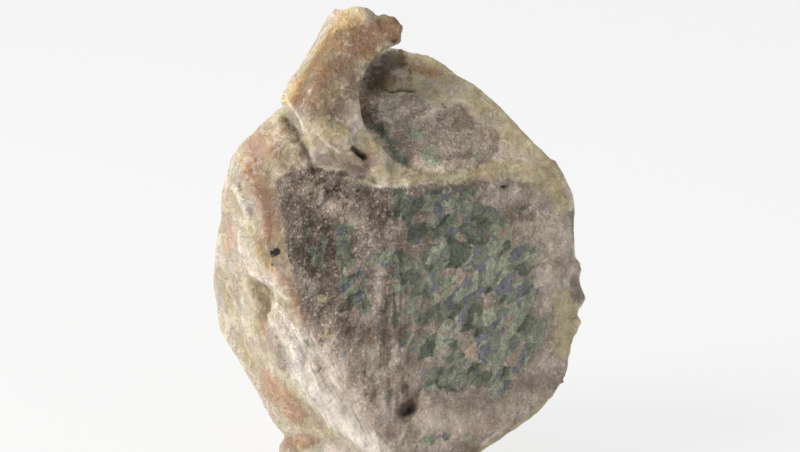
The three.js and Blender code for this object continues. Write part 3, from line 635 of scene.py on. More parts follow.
@dataclass(frozen=True)
class WeatheredPerlite:
    """The finish of weathered, altered volcanic glass, which has the grain of lump sugar.

    The inside is matt and grainy, grey-brown to green. The rind is a smoother clay in cream, olive
    and pink. Nothing on it shines; the faint sparkle of its crystals is painted into its colour as
    glints. Its IOR is glass's own, 1.5, which the shader starts with.

    Attributes:
        cream, tan, brown: The rind, its clouds, and where it is old.
        olive, gold, pink, mauve: Stains that let the rind show through.
        white, rim: Worn white ledges and a painted highlight along the rib, and cream edges and chips.
        soot, umber, grey, ash: The core, from its pores to its bleached crystals.
        dirt_and_shade, rust, black: What lies in cracks and pits, and painted shade in creases and
            hollows.
        glass: The altered glass, as the level at which each colour starts and that colour.
        haze: What mutes the glass.
        cloud_size, mottle_size, speck_size, grain_size: The noises' lumps, in millimetres.
        crystal_size, chip_size, flake_size: The core's pieces, in millimetres.
        strand_width: How wide the pale side's splinters are, in millimetres.
        skin_size: The patches in which a thin skin has peeled off the rind, in millimetres.
        hue_size: The patches in which the rind is pinker or greener, in millimetres.
    """

    cream: str = "#dcd1be"
    tan: str = "#bdae98"
    brown: str = "#978570"
    olive: str = "#f1efdd"
    gold: str = "#ffecc2"
    pink: str = "#f8ded2"
    mauve: str = "#d2cbd0"
    white: str = "#f0e8dc"
    rim: str = "#b9ad8a"
    soot: str = "#493d32"
    umber: str = "#756659"
    grey: str = "#8f8074"
    ash: str = "#c2b6a9"
    dirt_and_shade: str = "#423325"
    rust: str = "#8a6242"
    black: str = "#1d1c1b"
    glass: Stops = (
        (0.0, "#5b6153"),
        (0.3, "#707664"),
        (0.46, "#848975"),
        (0.56, "#696a73"),
        (0.65, "#949b84"),
        (0.75, "#9a8677"),
        (0.85, "#7a7e6c"),
    )
    haze: str = "#7d7e70"
    cloud_size: float = 9.0
    mottle_size: float = 2.8
    speck_size: float = 1.0
    grain_size: float = 0.42  # the real grain is nearer 0.3 mm, which is too fine to show
    crystal_size: float = 0.5
    chip_size: float = 1.7
    flake_size: float = 3.2
    strand_width: float = 0.7
    skin_size: float = 3.0
    hue_size: float = 4.0

    def stain(
        self,
        tree: bpy.types.NodeTree,
        under: Socket,
        skin: Skin,
        pigment: str,
        sway: Socket,
        most: float = 1.0,
        blend: str = "MIX",
    ) -> Socket:
        """Lays a pigment over a colour where the mesh has a weight for it.

        Args:
            tree: The material's nodes.
            under: The colour under it.
            skin: The weight.
            pigment: The pigment's colour.
            sway: Noise around 0 that breaks the stain's edge up.
            most: How much of it covers the colour at its strongest.
            blend: How it covers the colour: MULTIPLY lets the colour show through.

        Returns:
            The colour with the stain on it.
        """
        weight = add(tree, "ShaderNodeAttribute", {}, "Fac", attribute_name=skin.value)
        broken = add(tree, "ShaderNodeMath", {0: sway, 1: 1.5, 2: 1.0}, operation="MULTIPLY_ADD")
        level = add(tree, "ShaderNodeMath", {0: weight, 1: broken}, operation="MULTIPLY")
        cover = {"Value": level, "From Min": 0.1, "From Max": 0.85, "To Max": most}
        cover = add(tree, "ShaderNodeMapRange", cover, interpolation_type="SMOOTHSTEP")
        mix = {"Factor": cover, 6: under, 7: linear(pigment)}
        return add(tree, "ShaderNodeMix", mix, 2, data_type="RGBA", blend_type=blend)

    def strands(self, tree: bpy.types.NodeTree, at: Socket, width: float) -> Socket:
        """Noise drawn out along the ledges of the pale side, which run down to the right.

        Args:
            tree: The nodes it is made in.
            at: Where, as a face-on place.
            width: How wide a strand is, in millimetres.

        Returns:
            The noise, around 0.5.
        """
        upright = {"Vector": at, "Angle": math.radians(30)}
        upright = add(tree, "ShaderNodeVectorRotate", upright, rotation_type="Y_AXIS")
        thin = {0: upright, 1: (1 / width, 0.8 / width, 1 / (7 * width))}
        thin = add(tree, "ShaderNodeVectorMath", thin, operation="MULTIPLY")
        drawn = {"Vector": thin, "Scale": 1.0, "Detail": 2.0, "Roughness": 0.55, "Distortion": 0.6}
        return add(tree, "ShaderNodeTexNoise", drawn)

    def flaked(self, tree: bpy.types.NodeTree, at: Socket) -> Socket:
        """Turns, squeezes and frays a place, so that cells drawn there become slanted flakes.

        Args:
            tree: The nodes it is made in.
            at: Where, as a face-on place.

        Returns:
            The place in the flakes' own frame.
        """
        frayed = {"Vector": at, "Scale": 1 / 1.1, "Detail": 2.0}
        frayed = add(tree, "ShaderNodeTexNoise", frayed, "Color")
        frayed = {0: frayed, 1: (0.8, 0.8, 0.8), 2: at}
        frayed = add(tree, "ShaderNodeVectorMath", frayed, operation="MULTIPLY_ADD")
        slant = {"Vector": frayed, "Angle": math.radians(-35)}
        slant = add(tree, "ShaderNodeVectorRotate", slant, rotation_type="Y_AXIS")
        slant = {0: slant, 1: (1.0, 0.5, 0.62)}
        return add(tree, "ShaderNodeVectorMath", slant, operation="MULTIPLY")

    def coarseness(self, tree: bpy.types.NodeTree, at: Socket) -> Socket:
        """Says how coarse the core is: most at its upper left, and least where it is pale.

        Args:
            tree: The material's nodes.
            at: Where, as a face-on place.

        Returns:
            The coarseness, up to 1.
        """
        lean = {0: at, 1: (1.0, 0.0, -0.9)}
        across = add(tree, "ShaderNodeVectorMath", lean, "Value", operation="DOT_PRODUCT")
        coarse = {"Value": across, "From Min": -12.0, "From Max": 14.0, "To Min": 1.0, "To Max": 0.5}
        coarse = add(tree, "ShaderNodeMapRange", coarse)
        pale = add(tree, "ShaderNodeAttribute", {}, "Fac", attribute_name=Skin.PALE.value)
        calm = add(tree, "ShaderNodeMapRange", {"Value": pale, "To Min": 1.0, "To Max": 0.6})
        return add(tree, "ShaderNodeMath", {0: coarse, 1: calm}, operation="MULTIPLY")

    def grain(self, tree: bpy.types.NodeTree) -> Grain:
        """Makes the patterns that the parts of the finish share.

        Args:
            tree: The material's nodes.

        Returns:
            The patterns.
        """
        at = add(tree, "ShaderNodeAttribute", {}, "Vector", attribute_name="place")
        cloud = {"Vector": at, "Scale": 1 / self.cloud_size, "Detail": 3.0}
        cloud = add(tree, "ShaderNodeTexNoise", cloud)
        mottle = {"Vector": at, "Scale": 1 / self.mottle_size, "Detail": 3.0}
        mottle = add(tree, "ShaderNodeTexNoise", mottle)
        speck = {"Vector": at, "Scale": 1 / self.speck_size, "Detail": 2.0}
        speck = add(tree, "ShaderNodeTexNoise", speck)
        sugar = {"Vector": at, "Scale": 1 / self.grain_size, "Detail": 1.0}
        sugar = add(tree, "ShaderNodeTexNoise", sugar)
        three = add(tree, "ShaderNodeCombineXYZ", {0: mottle, 1: speck, 2: sugar})
        three = add(tree, "ShaderNodeVectorMath", {0: three, 1: (0.5,) * 3}, operation="SUBTRACT")
        sway = {0: three, 1: (1.6, 1.0, 0.6)}
        sway = add(tree, "ShaderNodeVectorMath", sway, "Value", operation="DOT_PRODUCT")
        sway_too = {0: three, 1: (-1.5, 1.2, 0.7)}
        sway_too = add(tree, "ShaderNodeVectorMath", sway_too, "Value", operation="DOT_PRODUCT")

        crystal = {"Vector": at, "Scale": 1 / self.crystal_size}
        crystal = add(tree, "ShaderNodeTexVoronoi", crystal, "Color")
        crystal = add(tree, "ShaderNodeSeparateColor", {0: crystal}, 0)
        slant = self.flaked(tree, at)
        chip = {"Vector": slant, "Scale": 1 / self.chip_size}
        chip = add(tree, "ShaderNodeTexVoronoi", chip, "Color", distance="MANHATTAN")
        chip = add(tree, "ShaderNodeSeparateColor", {0: chip}, 0)
        flake = {"Vector": slant, "Scale": 1 / self.flake_size}
        flake = add(tree, "ShaderNodeTexVoronoi", flake, "Color", distance="MANHATTAN")
        near = flake.node.outputs["Distance"]
        flake = add(tree, "ShaderNodeSeparateColor", {0: flake}, 0)
        step = flake.node.outputs[1]

        skin = {"Vector": at, "Scale": 1 / self.skin_size, "Detail": 5.0, "Roughness": 0.55}
        skin["Distortion"] = 1.2
        skin = add(tree, "ShaderNodeTexNoise", skin)
        skin = {"Value": skin, "From Min": 0.49, "From Max": 0.52}
        skin = add(tree, "ShaderNodeMapRange", skin, interpolation_type="SMOOTHSTEP")
        strand = self.strands(tree, at, self.strand_width)
        return Grain(
            at=at,
            slant=slant,
            cloud=cloud,
            sugar=sugar,
            three=three,
            crystal=crystal,
            chip=chip,
            flake=flake,
            step=step,
            near=near,
            strand=strand,
            skin=skin,
            sway=sway,
            sway_too=sway_too,
            coarse=self.coarseness(tree, at),
        )

    def rind(self, tree: bpy.types.NodeTree, grain: Grain) -> Socket:
        """Colours the rind: cream clouded with tan, and brown where it is old.

        Args:
            tree: The material's nodes.
            grain: The patterns.

        Returns:
            The colour.
        """
        clouded = {0: grain.sway, 1: 0.4, 2: grain.cloud}
        clouded = add(tree, "ShaderNodeMath", clouded, operation="MULTIPLY_ADD")
        tanned = {"Value": clouded, "From Min": 0.3, "From Max": 0.75}
        tanned = add(tree, "ShaderNodeMapRange", tanned, interpolation_type="SMOOTHSTEP")
        shades = {"Factor": tanned, 6: linear(self.cream), 7: linear(self.tan)}
        rind = add(tree, "ShaderNodeMix", shades, 2, data_type="RGBA")
        return self.stain(tree, rind, Skin.BROWN, self.brown, grain.sway_too, 0.9)

    def crystals(self, tree: bpy.types.NodeTree, grain: Grain) -> Socket:
        """Colours the core between its flakes of glass: light crystals with painted glints, and dark
        pores.

        Args:
            tree: The material's nodes.
            grain: The patterns.

        Returns:
            The colour.
        """
        pale = add(tree, "ShaderNodeAttribute", {}, "Fac", attribute_name=Skin.PALE.value)
        soot = add(tree, "ShaderNodeAttribute", {}, "Fac", attribute_name=Skin.SOOT.value)
        salt = {0: grain.three, 1: (0.5, 0.35, 0.7)}
        salt = add(tree, "ShaderNodeVectorMath", salt, "Value", operation="DOT_PRODUCT")
        pieces = {0: grain.crystal, 1: grain.chip}
        pieces = add(tree, "ShaderNodeMath", pieces, operation="ADD")
        pieces = {0: pieces, 1: 0.2, 2: -0.2}
        pieces = add(tree, "ShaderNodeMath", pieces, operation="MULTIPLY_ADD")
        salt = add(tree, "ShaderNodeMath", {0: salt, 1: pieces}, operation="ADD")
        salt = {0: salt, 1: grain.coarse, 2: 0.6}
        salt = add(tree, "ShaderNodeMath", salt, operation="MULTIPLY_ADD")
        for pattern, share in ((soot, -0.2), (pale, 0.12), (grain.cloud, 0.9)):
            salt = {0: pattern, 1: share, 2: salt}
            salt = add(tree, "ShaderNodeMath", salt, operation="MULTIPLY_ADD")
        salt = add(tree, "ShaderNodeMath", {0: salt, 1: 0.45}, operation="SUBTRACT")
        # Painted glints: the brightest crystals are lightened, most where the core is coarse.
        painted_glint = {"Value": grain.crystal, "From Min": 0.9, "From Max": 0.96, "To Max": 0.28}
        painted_glint = add(tree, "ShaderNodeMapRange", painted_glint)
        painted_glint = add(tree, "ShaderNodeMath", {0: painted_glint, 1: grain.coarse}, operation="MULTIPLY")
        salt = add(tree, "ShaderNodeMath", {0: salt, 1: painted_glint}, operation="ADD")
        stops = ((0.08, self.soot), (0.38, self.umber), (0.6, self.grey), (0.95, self.ash))
        return add(tree, "ShaderNodeValToRGB", {0: salt}, stops=stops)

    def altered_glass(self, tree: bpy.types.NodeTree, grain: Grain) -> Socket:
        """Colours the altered glass, in angular flakes that are broken into the core's chips.

        Args:
            tree: The material's nodes.
            grain: The patterns.

        Returns:
            The colour.
        """
        pick = add(tree, "ShaderNodeMath", {0: grain.chip, 1: 0.42}, operation="MULTIPLY")
        pick = {0: grain.flake, 1: 0.58, 2: pick}
        pick = add(tree, "ShaderNodeMath", pick, operation="MULTIPLY_ADD")
        glass = add(tree, "ShaderNodeValToRGB", {0: pick}, stops=self.glass)
        glass.node.color_ramp.interpolation = "CONSTANT"
        muted = {"Factor": 0.2, 6: glass, 7: linear(self.haze)}
        glass = add(tree, "ShaderNodeMix", muted, 2, data_type="RGBA")

        # Frost on the flakes, and a painted highlight along the seams between them.
        frost_and_highlight = {0: grain.three, 1: (0.5, 0.6, 1.2)}
        frost_and_highlight = add(tree, "ShaderNodeVectorMath", frost_and_highlight, "Value", operation="DOT_PRODUCT")
        far = {"Vector": grain.slant, "Scale": 1 / self.flake_size}
        far = add(tree, "ShaderNodeTexVoronoi", far, "Distance", distance="MANHATTAN", feature="F2")
        painted_seam_highlight = add(tree, "ShaderNodeMath", {0: far, 1: grain.near}, operation="SUBTRACT")
        painted_seam_highlight = {"Value": painted_seam_highlight, "From Min": 0.02, "From Max": 0.1, "To Min": 1.22, "To Max": 1.08}
        painted_seam_highlight = add(tree, "ShaderNodeMapRange", painted_seam_highlight)
        frost_and_highlight = add(tree, "ShaderNodeMath", {0: frost_and_highlight, 1: painted_seam_highlight}, operation="ADD")
        return add(tree, "ShaderNodeVectorMath", {0: glass, "Scale": frost_and_highlight}, operation="SCALE")

    def core(self, tree: bpy.types.NodeTree, grain: Grain) -> Socket:
        """Colours the core: crystals and glass, bleached, sooty or scraped in places, with painted light
        where the horn's shadow falls.

        Args:
            tree: The material's nodes.
            grain: The patterns.

        Returns:
            The colour.
        """
        green = add(tree, "ShaderNodeAttribute", {}, "Fac", attribute_name=Skin.GREEN.value)
        for pattern, share in ((grain.step, 0.9), (grain.sway_too, 0.7)):
            green = {0: pattern, 1: share, 2: green}
            green = add(tree, "ShaderNodeMath", green, operation="MULTIPLY_ADD")
        patch = {"Value": green, "From Min": 0.86, "From Max": 1.06}
        patch = add(tree, "ShaderNodeMapRange", patch, interpolation_type="SMOOTHSTEP")
        core = {"Factor": patch, 6: self.crystals(tree, grain), 7: self.altered_glass(tree, grain)}
        core = add(tree, "ShaderNodeMix", core, 2, data_type="RGBA")

        # The pale weight lightens the core, as bleaching and, where the horn's shadow falls, as painted
        # light.
        pale = add(tree, "ShaderNodeAttribute", {}, "Fac", attribute_name=Skin.PALE.value)
        soot = add(tree, "ShaderNodeAttribute", {}, "Fac", attribute_name=Skin.SOOT.value)
        gain = add(tree, "ShaderNodeMath", {0: pale, 1: 0.42, 2: 1.0}, operation="MULTIPLY_ADD")
        gain = add(tree, "ShaderNodeMath", {0: soot, 1: -0.3, 2: gain}, operation="MULTIPLY_ADD")
        core = add(tree, "ShaderNodeVectorMath", {0: core, "Scale": gain}, operation="SCALE")

        # Upright streaks where rock has scraped along it, 0.9 mm wide and 14 mm long.
        tall = {0: grain.at, 1: (1 / 0.9, 1 / 2.0, 1 / 14.0)}
        tall = add(tree, "ShaderNodeVectorMath", tall, operation="MULTIPLY")
        scratch = add(tree, "ShaderNodeTexNoise", {"Vector": tall, "Scale": 1.0, "Detail": 2.0})
        scored = {"Value": scratch, "From Min": 0.35, "From Max": 0.65, "To Min": 0.68, "To Max": 1.32}
        scored = add(tree, "ShaderNodeMapRange", scored)
        streak = add(tree, "ShaderNodeAttribute", {}, "Fac", attribute_name=Skin.STREAK.value)
        scored = {"Factor": streak, "A": 1.0, "B": scored}
        scored = add(tree, "ShaderNodeMix", scored, 0, data_type="FLOAT")
        return add(tree, "ShaderNodeVectorMath", {0: core, "Scale": scored}, operation="SCALE")

    def inside(self, tree: bpy.types.NodeTree, grain: Grain) -> Socket:
        """Says where the core shows, with a ragged edge.

        Args:
            tree: The material's nodes.
            grain: The patterns.

        Returns:
            0 on the rind and 1 on the core.
        """
        depth = add(tree, "ShaderNodeAttribute", {}, "Fac", attribute_name=Skin.CORE.value)
        edge = {0: grain.sway, 1: 1.1, 2: depth}
        edge = add(tree, "ShaderNodeMath", edge, operation="MULTIPLY_ADD")
        edge = {"Value": edge, "From Min": -0.5, "From Max": 0.5}
        return add(tree, "ShaderNodeMapRange", edge, interpolation_type="SMOOTHSTEP")

    def stained(self, tree: bpy.types.NodeTree, grain: Grain, colour: Socket) -> Socket:
        """Lays the stains over the rind and the core, with painted shade in creases, and splinters over
        the pale side.

        Args:
            tree: The material's nodes.
            grain: The patterns.
            colour: The colour under them.

        Returns:
            The stained colour.
        """
        for skin, pigment, sway in (
            (Skin.OLIVE, self.olive, grain.sway),
            (Skin.MAUVE, self.mauve, grain.sway_too),
            (Skin.GOLD, self.gold, grain.sway),
            (Skin.PINK, self.pink, grain.sway_too),
        ):
            colour = self.stain(tree, colour, skin, pigment, sway, 1.0, "MULTIPLY")

        split = {0: grain.strand, 1: 1.6, 2: -0.8}
        split = add(tree, "ShaderNodeMath", split, operation="MULTIPLY_ADD")
        colour = self.stain(tree, colour, Skin.WHITE, self.white, split, 0.75)
        fibre = add(tree, "ShaderNodeAttribute", {}, "Fac", attribute_name=Skin.FIBRE.value)
        splinter = {"Value": grain.strand, "From Min": 0.52, "From Max": 0.66, "To Max": 0.8}
        splinter = add(tree, "ShaderNodeMapRange", splinter, interpolation_type="SMOOTHSTEP")
        splinter = add(tree, "ShaderNodeMath", {0: splinter, 1: fibre}, operation="MULTIPLY")
        white = {"Factor": splinter, 6: colour, 7: linear(self.white)}
        colour = add(tree, "ShaderNodeMix", white, 2, data_type="RGBA")

        # Rim, rust, dirt and black; the dirt stain also paints shade into creases and the hollow behind
        # the horn.
        for skin, pigment, sway, most in (
            (Skin.RIM, self.rim, grain.sway_too, 0.85),
            (Skin.RUST, self.rust, grain.sway, 0.7),
            (Skin.DIRT_AND_SHADE, self.dirt_and_shade, grain.sway, 0.78),
            (Skin.BLACK, self.black, grain.sway, 0.95),
        ):
            colour = self.stain(tree, colour, skin, pigment, sway, most)
        return colour

    def mottled(self, tree: bpy.types.NodeTree, grain: Grain, colour: Socket) -> Socket:
        """Mottles the rind: pinker here, greener there, and darker where a skin has peeled off.

        Args:
            tree: The material's nodes.
            grain: The patterns.
            colour: The rind's colour.

        Returns:
            The mottled colour.
        """
        hue = {"Vector": grain.at, "Scale": 1 / self.hue_size, "Detail": 3.0, "Roughness": 0.5}
        hue = add(tree, "ShaderNodeTexNoise", hue, "Color")
        hue = {0: hue, 1: (0.16, 0.26, 0.5), 2: (0.93, 0.87, 0.74)}
        hue = add(tree, "ShaderNodeVectorMath", hue, operation="MULTIPLY_ADD")
        tinted = add(tree, "ShaderNodeVectorMath", {0: colour, 1: hue}, operation="MULTIPLY")
        tone = {0: grain.three, 1: (0.3, 0.5, 0.7)}
        tone = add(tree, "ShaderNodeVectorMath", tone, "Value", operation="DOT_PRODUCT")
        tone = add(tree, "ShaderNodeMath", {0: tone, 1: 1.0}, operation="ADD")
        tinted = add(tree, "ShaderNodeVectorMath", {0: tinted, "Scale": tone}, operation="SCALE")
        bare = {0: grain.skin, 1: 0.15, 2: 0.9}
        bare = add(tree, "ShaderNodeMath", bare, operation="MULTIPLY_ADD")
        return add(tree, "ShaderNodeVectorMath", {0: tinted, "Scale": bare}, operation="SCALE")

    def relief(self, tree: bpy.types.NodeTree, grain: Grain, inside: Socket) -> Socket:
        """Makes the fine relief: grit and flakes on the core, splinters and skins on the rind.

        Args:
            tree: The material's nodes.
            grain: The patterns.
            inside: Where the core shows.

        Returns:
            The normal.
        """
        grit = {0: grain.three, 1: (1.2, 1.4, 0.6)}
        grit = add(tree, "ShaderNodeVectorMath", grit, "Value", operation="DOT_PRODUCT")
        for pattern, height in ((grain.step, 0.14), (grain.chip, 0.4), (grain.crystal, 0.14)):
            grit = {0: pattern, 1: height, 2: grit}
            grit = add(tree, "ShaderNodeMath", grit, operation="MULTIPLY_ADD")
        grit = add(tree, "ShaderNodeMath", {0: grit, 1: grain.coarse}, operation="MULTIPLY")

        dimples = {0: grain.three, 1: (0.65, 0.38, 0.18)}
        rind = add(tree, "ShaderNodeVectorMath", dimples, "Value", operation="DOT_PRODUCT")
        fibre = add(tree, "ShaderNodeAttribute", {}, "Fac", attribute_name=Skin.FIBRE.value)
        lifted = add(tree, "ShaderNodeMath", {0: grain.strand, 1: fibre}, operation="MULTIPLY")
        for pattern, height in ((lifted, 0.9), (grain.skin, 0.14)):
            rind = {0: pattern, 1: height, 2: rind}
            rind = add(tree, "ShaderNodeMath", rind, operation="MULTIPLY_ADD")
        height = {"Factor": inside, "A": rind, "B": grit}
        height = add(tree, "ShaderNodeMix", height, 0, data_type="FLOAT")
        return add(tree, "ShaderNodeBump", {"Strength": 1.0, "Distance": MM, "Height": height})

    def material(self) -> bpy.types.Material:
        """Makes the material.

        Returns:
            The material, which reads the weights of the stone's mesh.
        """
        made = bpy.data.materials.new("weathered_perlite")
        made.use_nodes = True
        tree = made.node_tree
        tree.nodes.clear()
        grain = self.grain(tree)
        inside = self.inside(tree, grain)
        colour = {"Factor": inside, 6: self.rind(tree, grain), 7: self.core(tree, grain)}
        colour = add(tree, "ShaderNodeMix", colour, 2, data_type="RGBA")
        colour = self.stained(tree, grain, colour)
        colour = {"Factor": inside, 6: self.mottled(tree, grain, colour), 7: colour}
        colour = add(tree, "ShaderNodeMix", colour, 2, data_type="RGBA")
        # Painted shade: hollows are darkened, partly as dirt, and bumps are lightened a little as painted
        # light.
        hollow = add(tree, "ShaderNodeAttribute", {}, "Fac", attribute_name=Skin.HOLLOW.value)
        hollow_dirt_and_shade = {"Value": hollow, "From Min": -0.2, "From Max": 0.4, "To Min": 1.08, "To Max": 0.66}
        hollow_dirt_and_shade = add(tree, "ShaderNodeMapRange", hollow_dirt_and_shade)
        colour = add(tree, "ShaderNodeVectorMath", {0: colour, "Scale": hollow_dirt_and_shade}, operation="SCALE")
        matt = {"Value": grain.sugar, "From Min": 0.35, "From Max": 0.68, "To Min": 0.92, "To Max": 0.55}
        matt = add(tree, "ShaderNodeMapRange", matt)
        stone = {"Base Color": colour, "Roughness": matt, "Specular IOR Level": 0.35}
        stone["Normal"] = self.relief(tree, grain, inside)
        stone = add(tree, "ShaderNodeBsdfPrincipled", stone)
        add(tree, "ShaderNodeOutputMaterial", {"Surface": stone})
        return made


# ---------------------------------------------------------------- the stone


@dataclass
class Rock:
    """The stone: a fine mesh in place of its solid.

    Attributes:
        cell: Size of the fine mesh's cells, in millimetres.
        wear: Passes of smoothing that wear its edges.
        bay_size: The bays along the edges of its breaks, in millimetres.
        lump_size, pit_size: The lumps and pits of its skin, in millimetres.
        ledge_width: How wide the pale side's ledges are, in millimetres.
        frame: The face-on frame.
        finish: Its finish.
    """

    cell: float = 0.525
    wear: int = 4
    bay_size: float = 5.0
    lump_size: float = 6.0
    pit_size: float = 2.2
    ledge_width: float = 2.2
    frame: FaceOn = field(default_factory=FaceOn)
    finish: WeatheredPerlite = field(default_factory=WeatheredPerlite)

    def blank(self, solid: bpy.types.Object) -> bpy.types.Object:
        """Makes the fine mesh from a copy of the solid.

        Args:
            solid: The solid, which stays as it is.

        Returns:
            The new object.
        """
        bpy.ops.object.select_all(action="DESELECT")
        piece = bpy.data.objects.new("rock_skin", solid.data.copy())
        bpy.context.scene.collection.objects.link(piece)
        piece.data.materials.clear()
        bpy.context.view_layer.objects.active = piece
        piece.select_set(True)
        bpy.ops.object.mode_set(mode="EDIT")
        bpy.ops.mesh.select_all(action="SELECT")
        bpy.ops.mesh.remove_doubles(threshold=1e-6)
        bpy.ops.object.mode_set(mode="OBJECT")
        remesh = piece.modifiers.new("fine_skin", "REMESH")
        remesh.mode = "VOXEL"
        remesh.voxel_size = self.cell * MM
        remesh.use_smooth_shade = True
        wear = piece.modifiers.new("worn_edges", "SMOOTH")
        wear.factor = 0.5
        wear.iterations = self.wear
        for modifier in ("fine_skin", "worn_edges"):
            bpy.ops.object.modifier_apply(modifier=modifier)
        return piece

    def points(self, piece: bpy.types.Object) -> np.ndarray:
        """Reads the mesh's vertices.

        Args:
            piece: The stone.

        Returns:
            The vertices, in metres, one in each row.
        """
        flat = np.empty(len(piece.data.vertices) * 3, np.float32)
        piece.data.vertices.foreach_get("co", flat)
        return flat.reshape(-1, 3).astype(float)

    def normals(self, piece: bpy.types.Object) -> np.ndarray:
        """Reads the mesh's vertex normals.

        Args:
            piece: The stone.

        Returns:
            The normals, one in each row.
        """
        flat = np.empty(len(piece.data.vertices) * 3, np.float32)
        piece.data.vertex_normals.foreach_get("vector", flat)
        return flat.reshape(-1, 3).astype(float)

    def facing(self, piece: bpy.types.Object) -> np.ndarray:
        """How far each vertex faces the front: 1 straight at it, and -1 straight away."""
        return -(self.normals(piece) @ self.frame.axes().T)[:, 1]

    def move(self, piece: bpy.types.Object, points: np.ndarray) -> None:
        """Moves the vertices, none of them below the floor.

        Args:
            piece: The stone.
            points: Where they go, in metres.
        """
        points[:, 2] = np.maximum(points[:, 2], 0.0)
        piece.data.vertices.foreach_set("co", points.astype(np.float32).ravel())
        piece.data.update()

    def keep(self, piece: bpy.types.Object, name: str, values: np.ndarray) -> None:
        """Keeps a number or a vector for each vertex.

        Args:
            piece: The stone.
            name: The name it is kept under.
            values: The numbers, or the vectors in rows.
        """
        kind, key = ("FLOAT", "value") if values.ndim == 1 else ("FLOAT_VECTOR", "vector")
        attribute = piece.data.attributes.new(name, kind, "POINT")
        attribute.data.foreach_set(key, values.astype(np.float32).ravel())

    def break_open(self, piece: bpy.types.Object, places: np.ndarray) -> np.ndarray:
        """Marks where the stone is freshly broken.

        Args:
            piece: The stone.
            places: Its vertices' face-on places.

        Returns:
            How far each vertex lies inside the far break, negative outside it.
        """
        spots = self.frame.lined_up(places)
        ragged = rough_at(places, self.bay_size)
        # The broken face ends some 12 mm back, and both breaks end where the skin turns away.
        back_end = (12.0 + 9.0 * ragged - places[:, 1]) * 0.15
        turn = (self.facing(piece) - 0.3 + 0.3 * ragged) * 5
        front = np.minimum(depth_inside(BROKEN_FACE, spots) + 0.8 * ragged, back_end)
        upper = depth_inside(UPPER_CORE, spots) + 1.4 * ragged
        core = np.minimum(np.maximum(front, upper), turn)
        middle, radius = FAR_BREAK
        far = radius - np.linalg.norm(places - np.array(middle), axis=1)
        far += 14.0 * rough_at(places, 14.0) + 4.0 * ragged
        self.keep(piece, Skin.CORE.value, np.maximum(core, far * 0.35))
        return far

    def brushed(self, piece: bpy.types.Object, places: np.ndarray, skin: Skin) -> np.ndarray:
        """Brushes the strokes of one weight onto the stone.

        Args:
            piece: The stone.
            places: Its vertices' face-on places.
            skin: The weight.

        Returns:
            The weight of each vertex.
        """
        weight = np.zeros(len(places))
        for stroke in STROKES:
            if stroke.skin is skin:
                away = distance_to(self.frame.on_stone(piece, stroke.path), places)
                dab = np.clip((stroke.radius - away) / stroke.edge + 0.5, 0, 1)
                weight = np.maximum(weight, dab * stroke.strength)
        return weight

    def paint(self, piece: bpy.types.Object) -> None:
        """Gives the mesh its weights: strokes in front, clouds behind, and flecks on the far break.

        Args:
            piece: The stone.
        """
        places = self.frame.places(self.points(piece))
        self.keep(piece, PLACE, places)
        far = self.break_open(piece, places)
        # The clouds start 16 mm back, where the strokes end, and leave the far break clear.
        behind = np.clip((places[:, 1] - 16.0) / 8.0, 0, 1)
        behind *= np.clip(1.0 - self.facing(piece) * 2, 0, 1)
        behind *= np.clip(0.5 - far / 3.0, 0, 1)
        for number, skin in enumerate(Skin):
            if skin in (Skin.CORE, Skin.HOLLOW):
                continue
            weight = self.brushed(piece, places, skin)
            if skin in CLOUDED:
                cloud = rough_at(places, 13.0, number * 9.1) + 0.5 * rough_at(places, 5.0, number * 5.3)
                weight = np.maximum(weight, behind * np.clip(0.25 + cloud * 1.3, 0, 0.6))
            if skin is Skin.PALE:
                weight = np.maximum(weight, np.clip(far / 8.0, 0, 0.7))
            if skin is Skin.GREEN:
                flecks = np.clip(0.3 + 1.6 * rough_at(places, 7.0), 0, 0.9)
                weight = np.maximum(weight, flecks * np.clip(far / 3.0, 0, 1))
            self.keep(piece, skin.value, weight)

    def carve(self, piece: bpy.types.Object) -> None:
        """Cuts the grooves and raises the ribs, each a little uneven along its length.

        Args:
            piece: The stone.
        """
        points, normals = self.points(piece), self.normals(piece)
        places = self.frame.places(points)
        lift = np.zeros(len(points))
        for carving in CARVINGS:
            away = distance_to(self.frame.on_stone(piece, carving.path), places)
            lift += carving.height * np.exp(-((away / carving.radius) ** 2))
        lift *= 1.0 + 1.5 * rough_at(places, 2.0)
        self.move(piece, points + normals * lift[:, None] * MM)

    def relief(self) -> bpy.types.GeometryNodeTree:
        """Makes the nodes that move each vertex along its normal, to raise lumps, steps and ledges.

        Returns:
            The nodes.
        """
        tree = bpy.data.node_groups.new("stone_relief", "GeometryNodeTree")
        for way in ("INPUT", "OUTPUT"):
            tree.interface.new_socket("Geometry", in_out=way, socket_type="NodeSocketGeometry")
        named = "GeometryNodeInputNamedAttribute"
        at = add(tree, named, {"Name": PLACE}, data_type="FLOAT_VECTOR")
        core = add(tree, named, {"Name": Skin.CORE.value})
        pale = add(tree, named, {"Name": Skin.PALE.value})
        fibre = add(tree, named, {"Name": Skin.FIBRE.value})

        # Lumps everywhere, and pits that are deeper in the core and shallower where it is pale.
        lumps = {"Vector": at, "Scale": 1 / self.lump_size, "Detail": 2.0}
        lumps = add(tree, "ShaderNodeTexNoise", lumps)
        height = add(tree, "ShaderNodeMath", {0: lumps, 1: 0.5}, operation="SUBTRACT")
        pits = {"Vector": at, "Scale": 1 / self.pit_size, "Detail": 2.0}
        pits = add(tree, "ShaderNodeTexNoise", pits)
        pits = add(tree, "ShaderNodeMath", {0: pits, 1: 0.5}, operation="SUBTRACT")
        deep = add(tree, "ShaderNodeMath", {0: pale, 1: -0.7, 2: 1.5}, operation="MULTIPLY_ADD")
        deep = {"Value": core, "From Min": -1.0, "From Max": 2.0, "To Min": 0.5, "To Max": deep}
        deep = add(tree, "ShaderNodeMapRange", deep)
        height = add(tree, "ShaderNodeMath", {0: pits, 1: deep, 2: height}, operation="MULTIPLY_ADD")

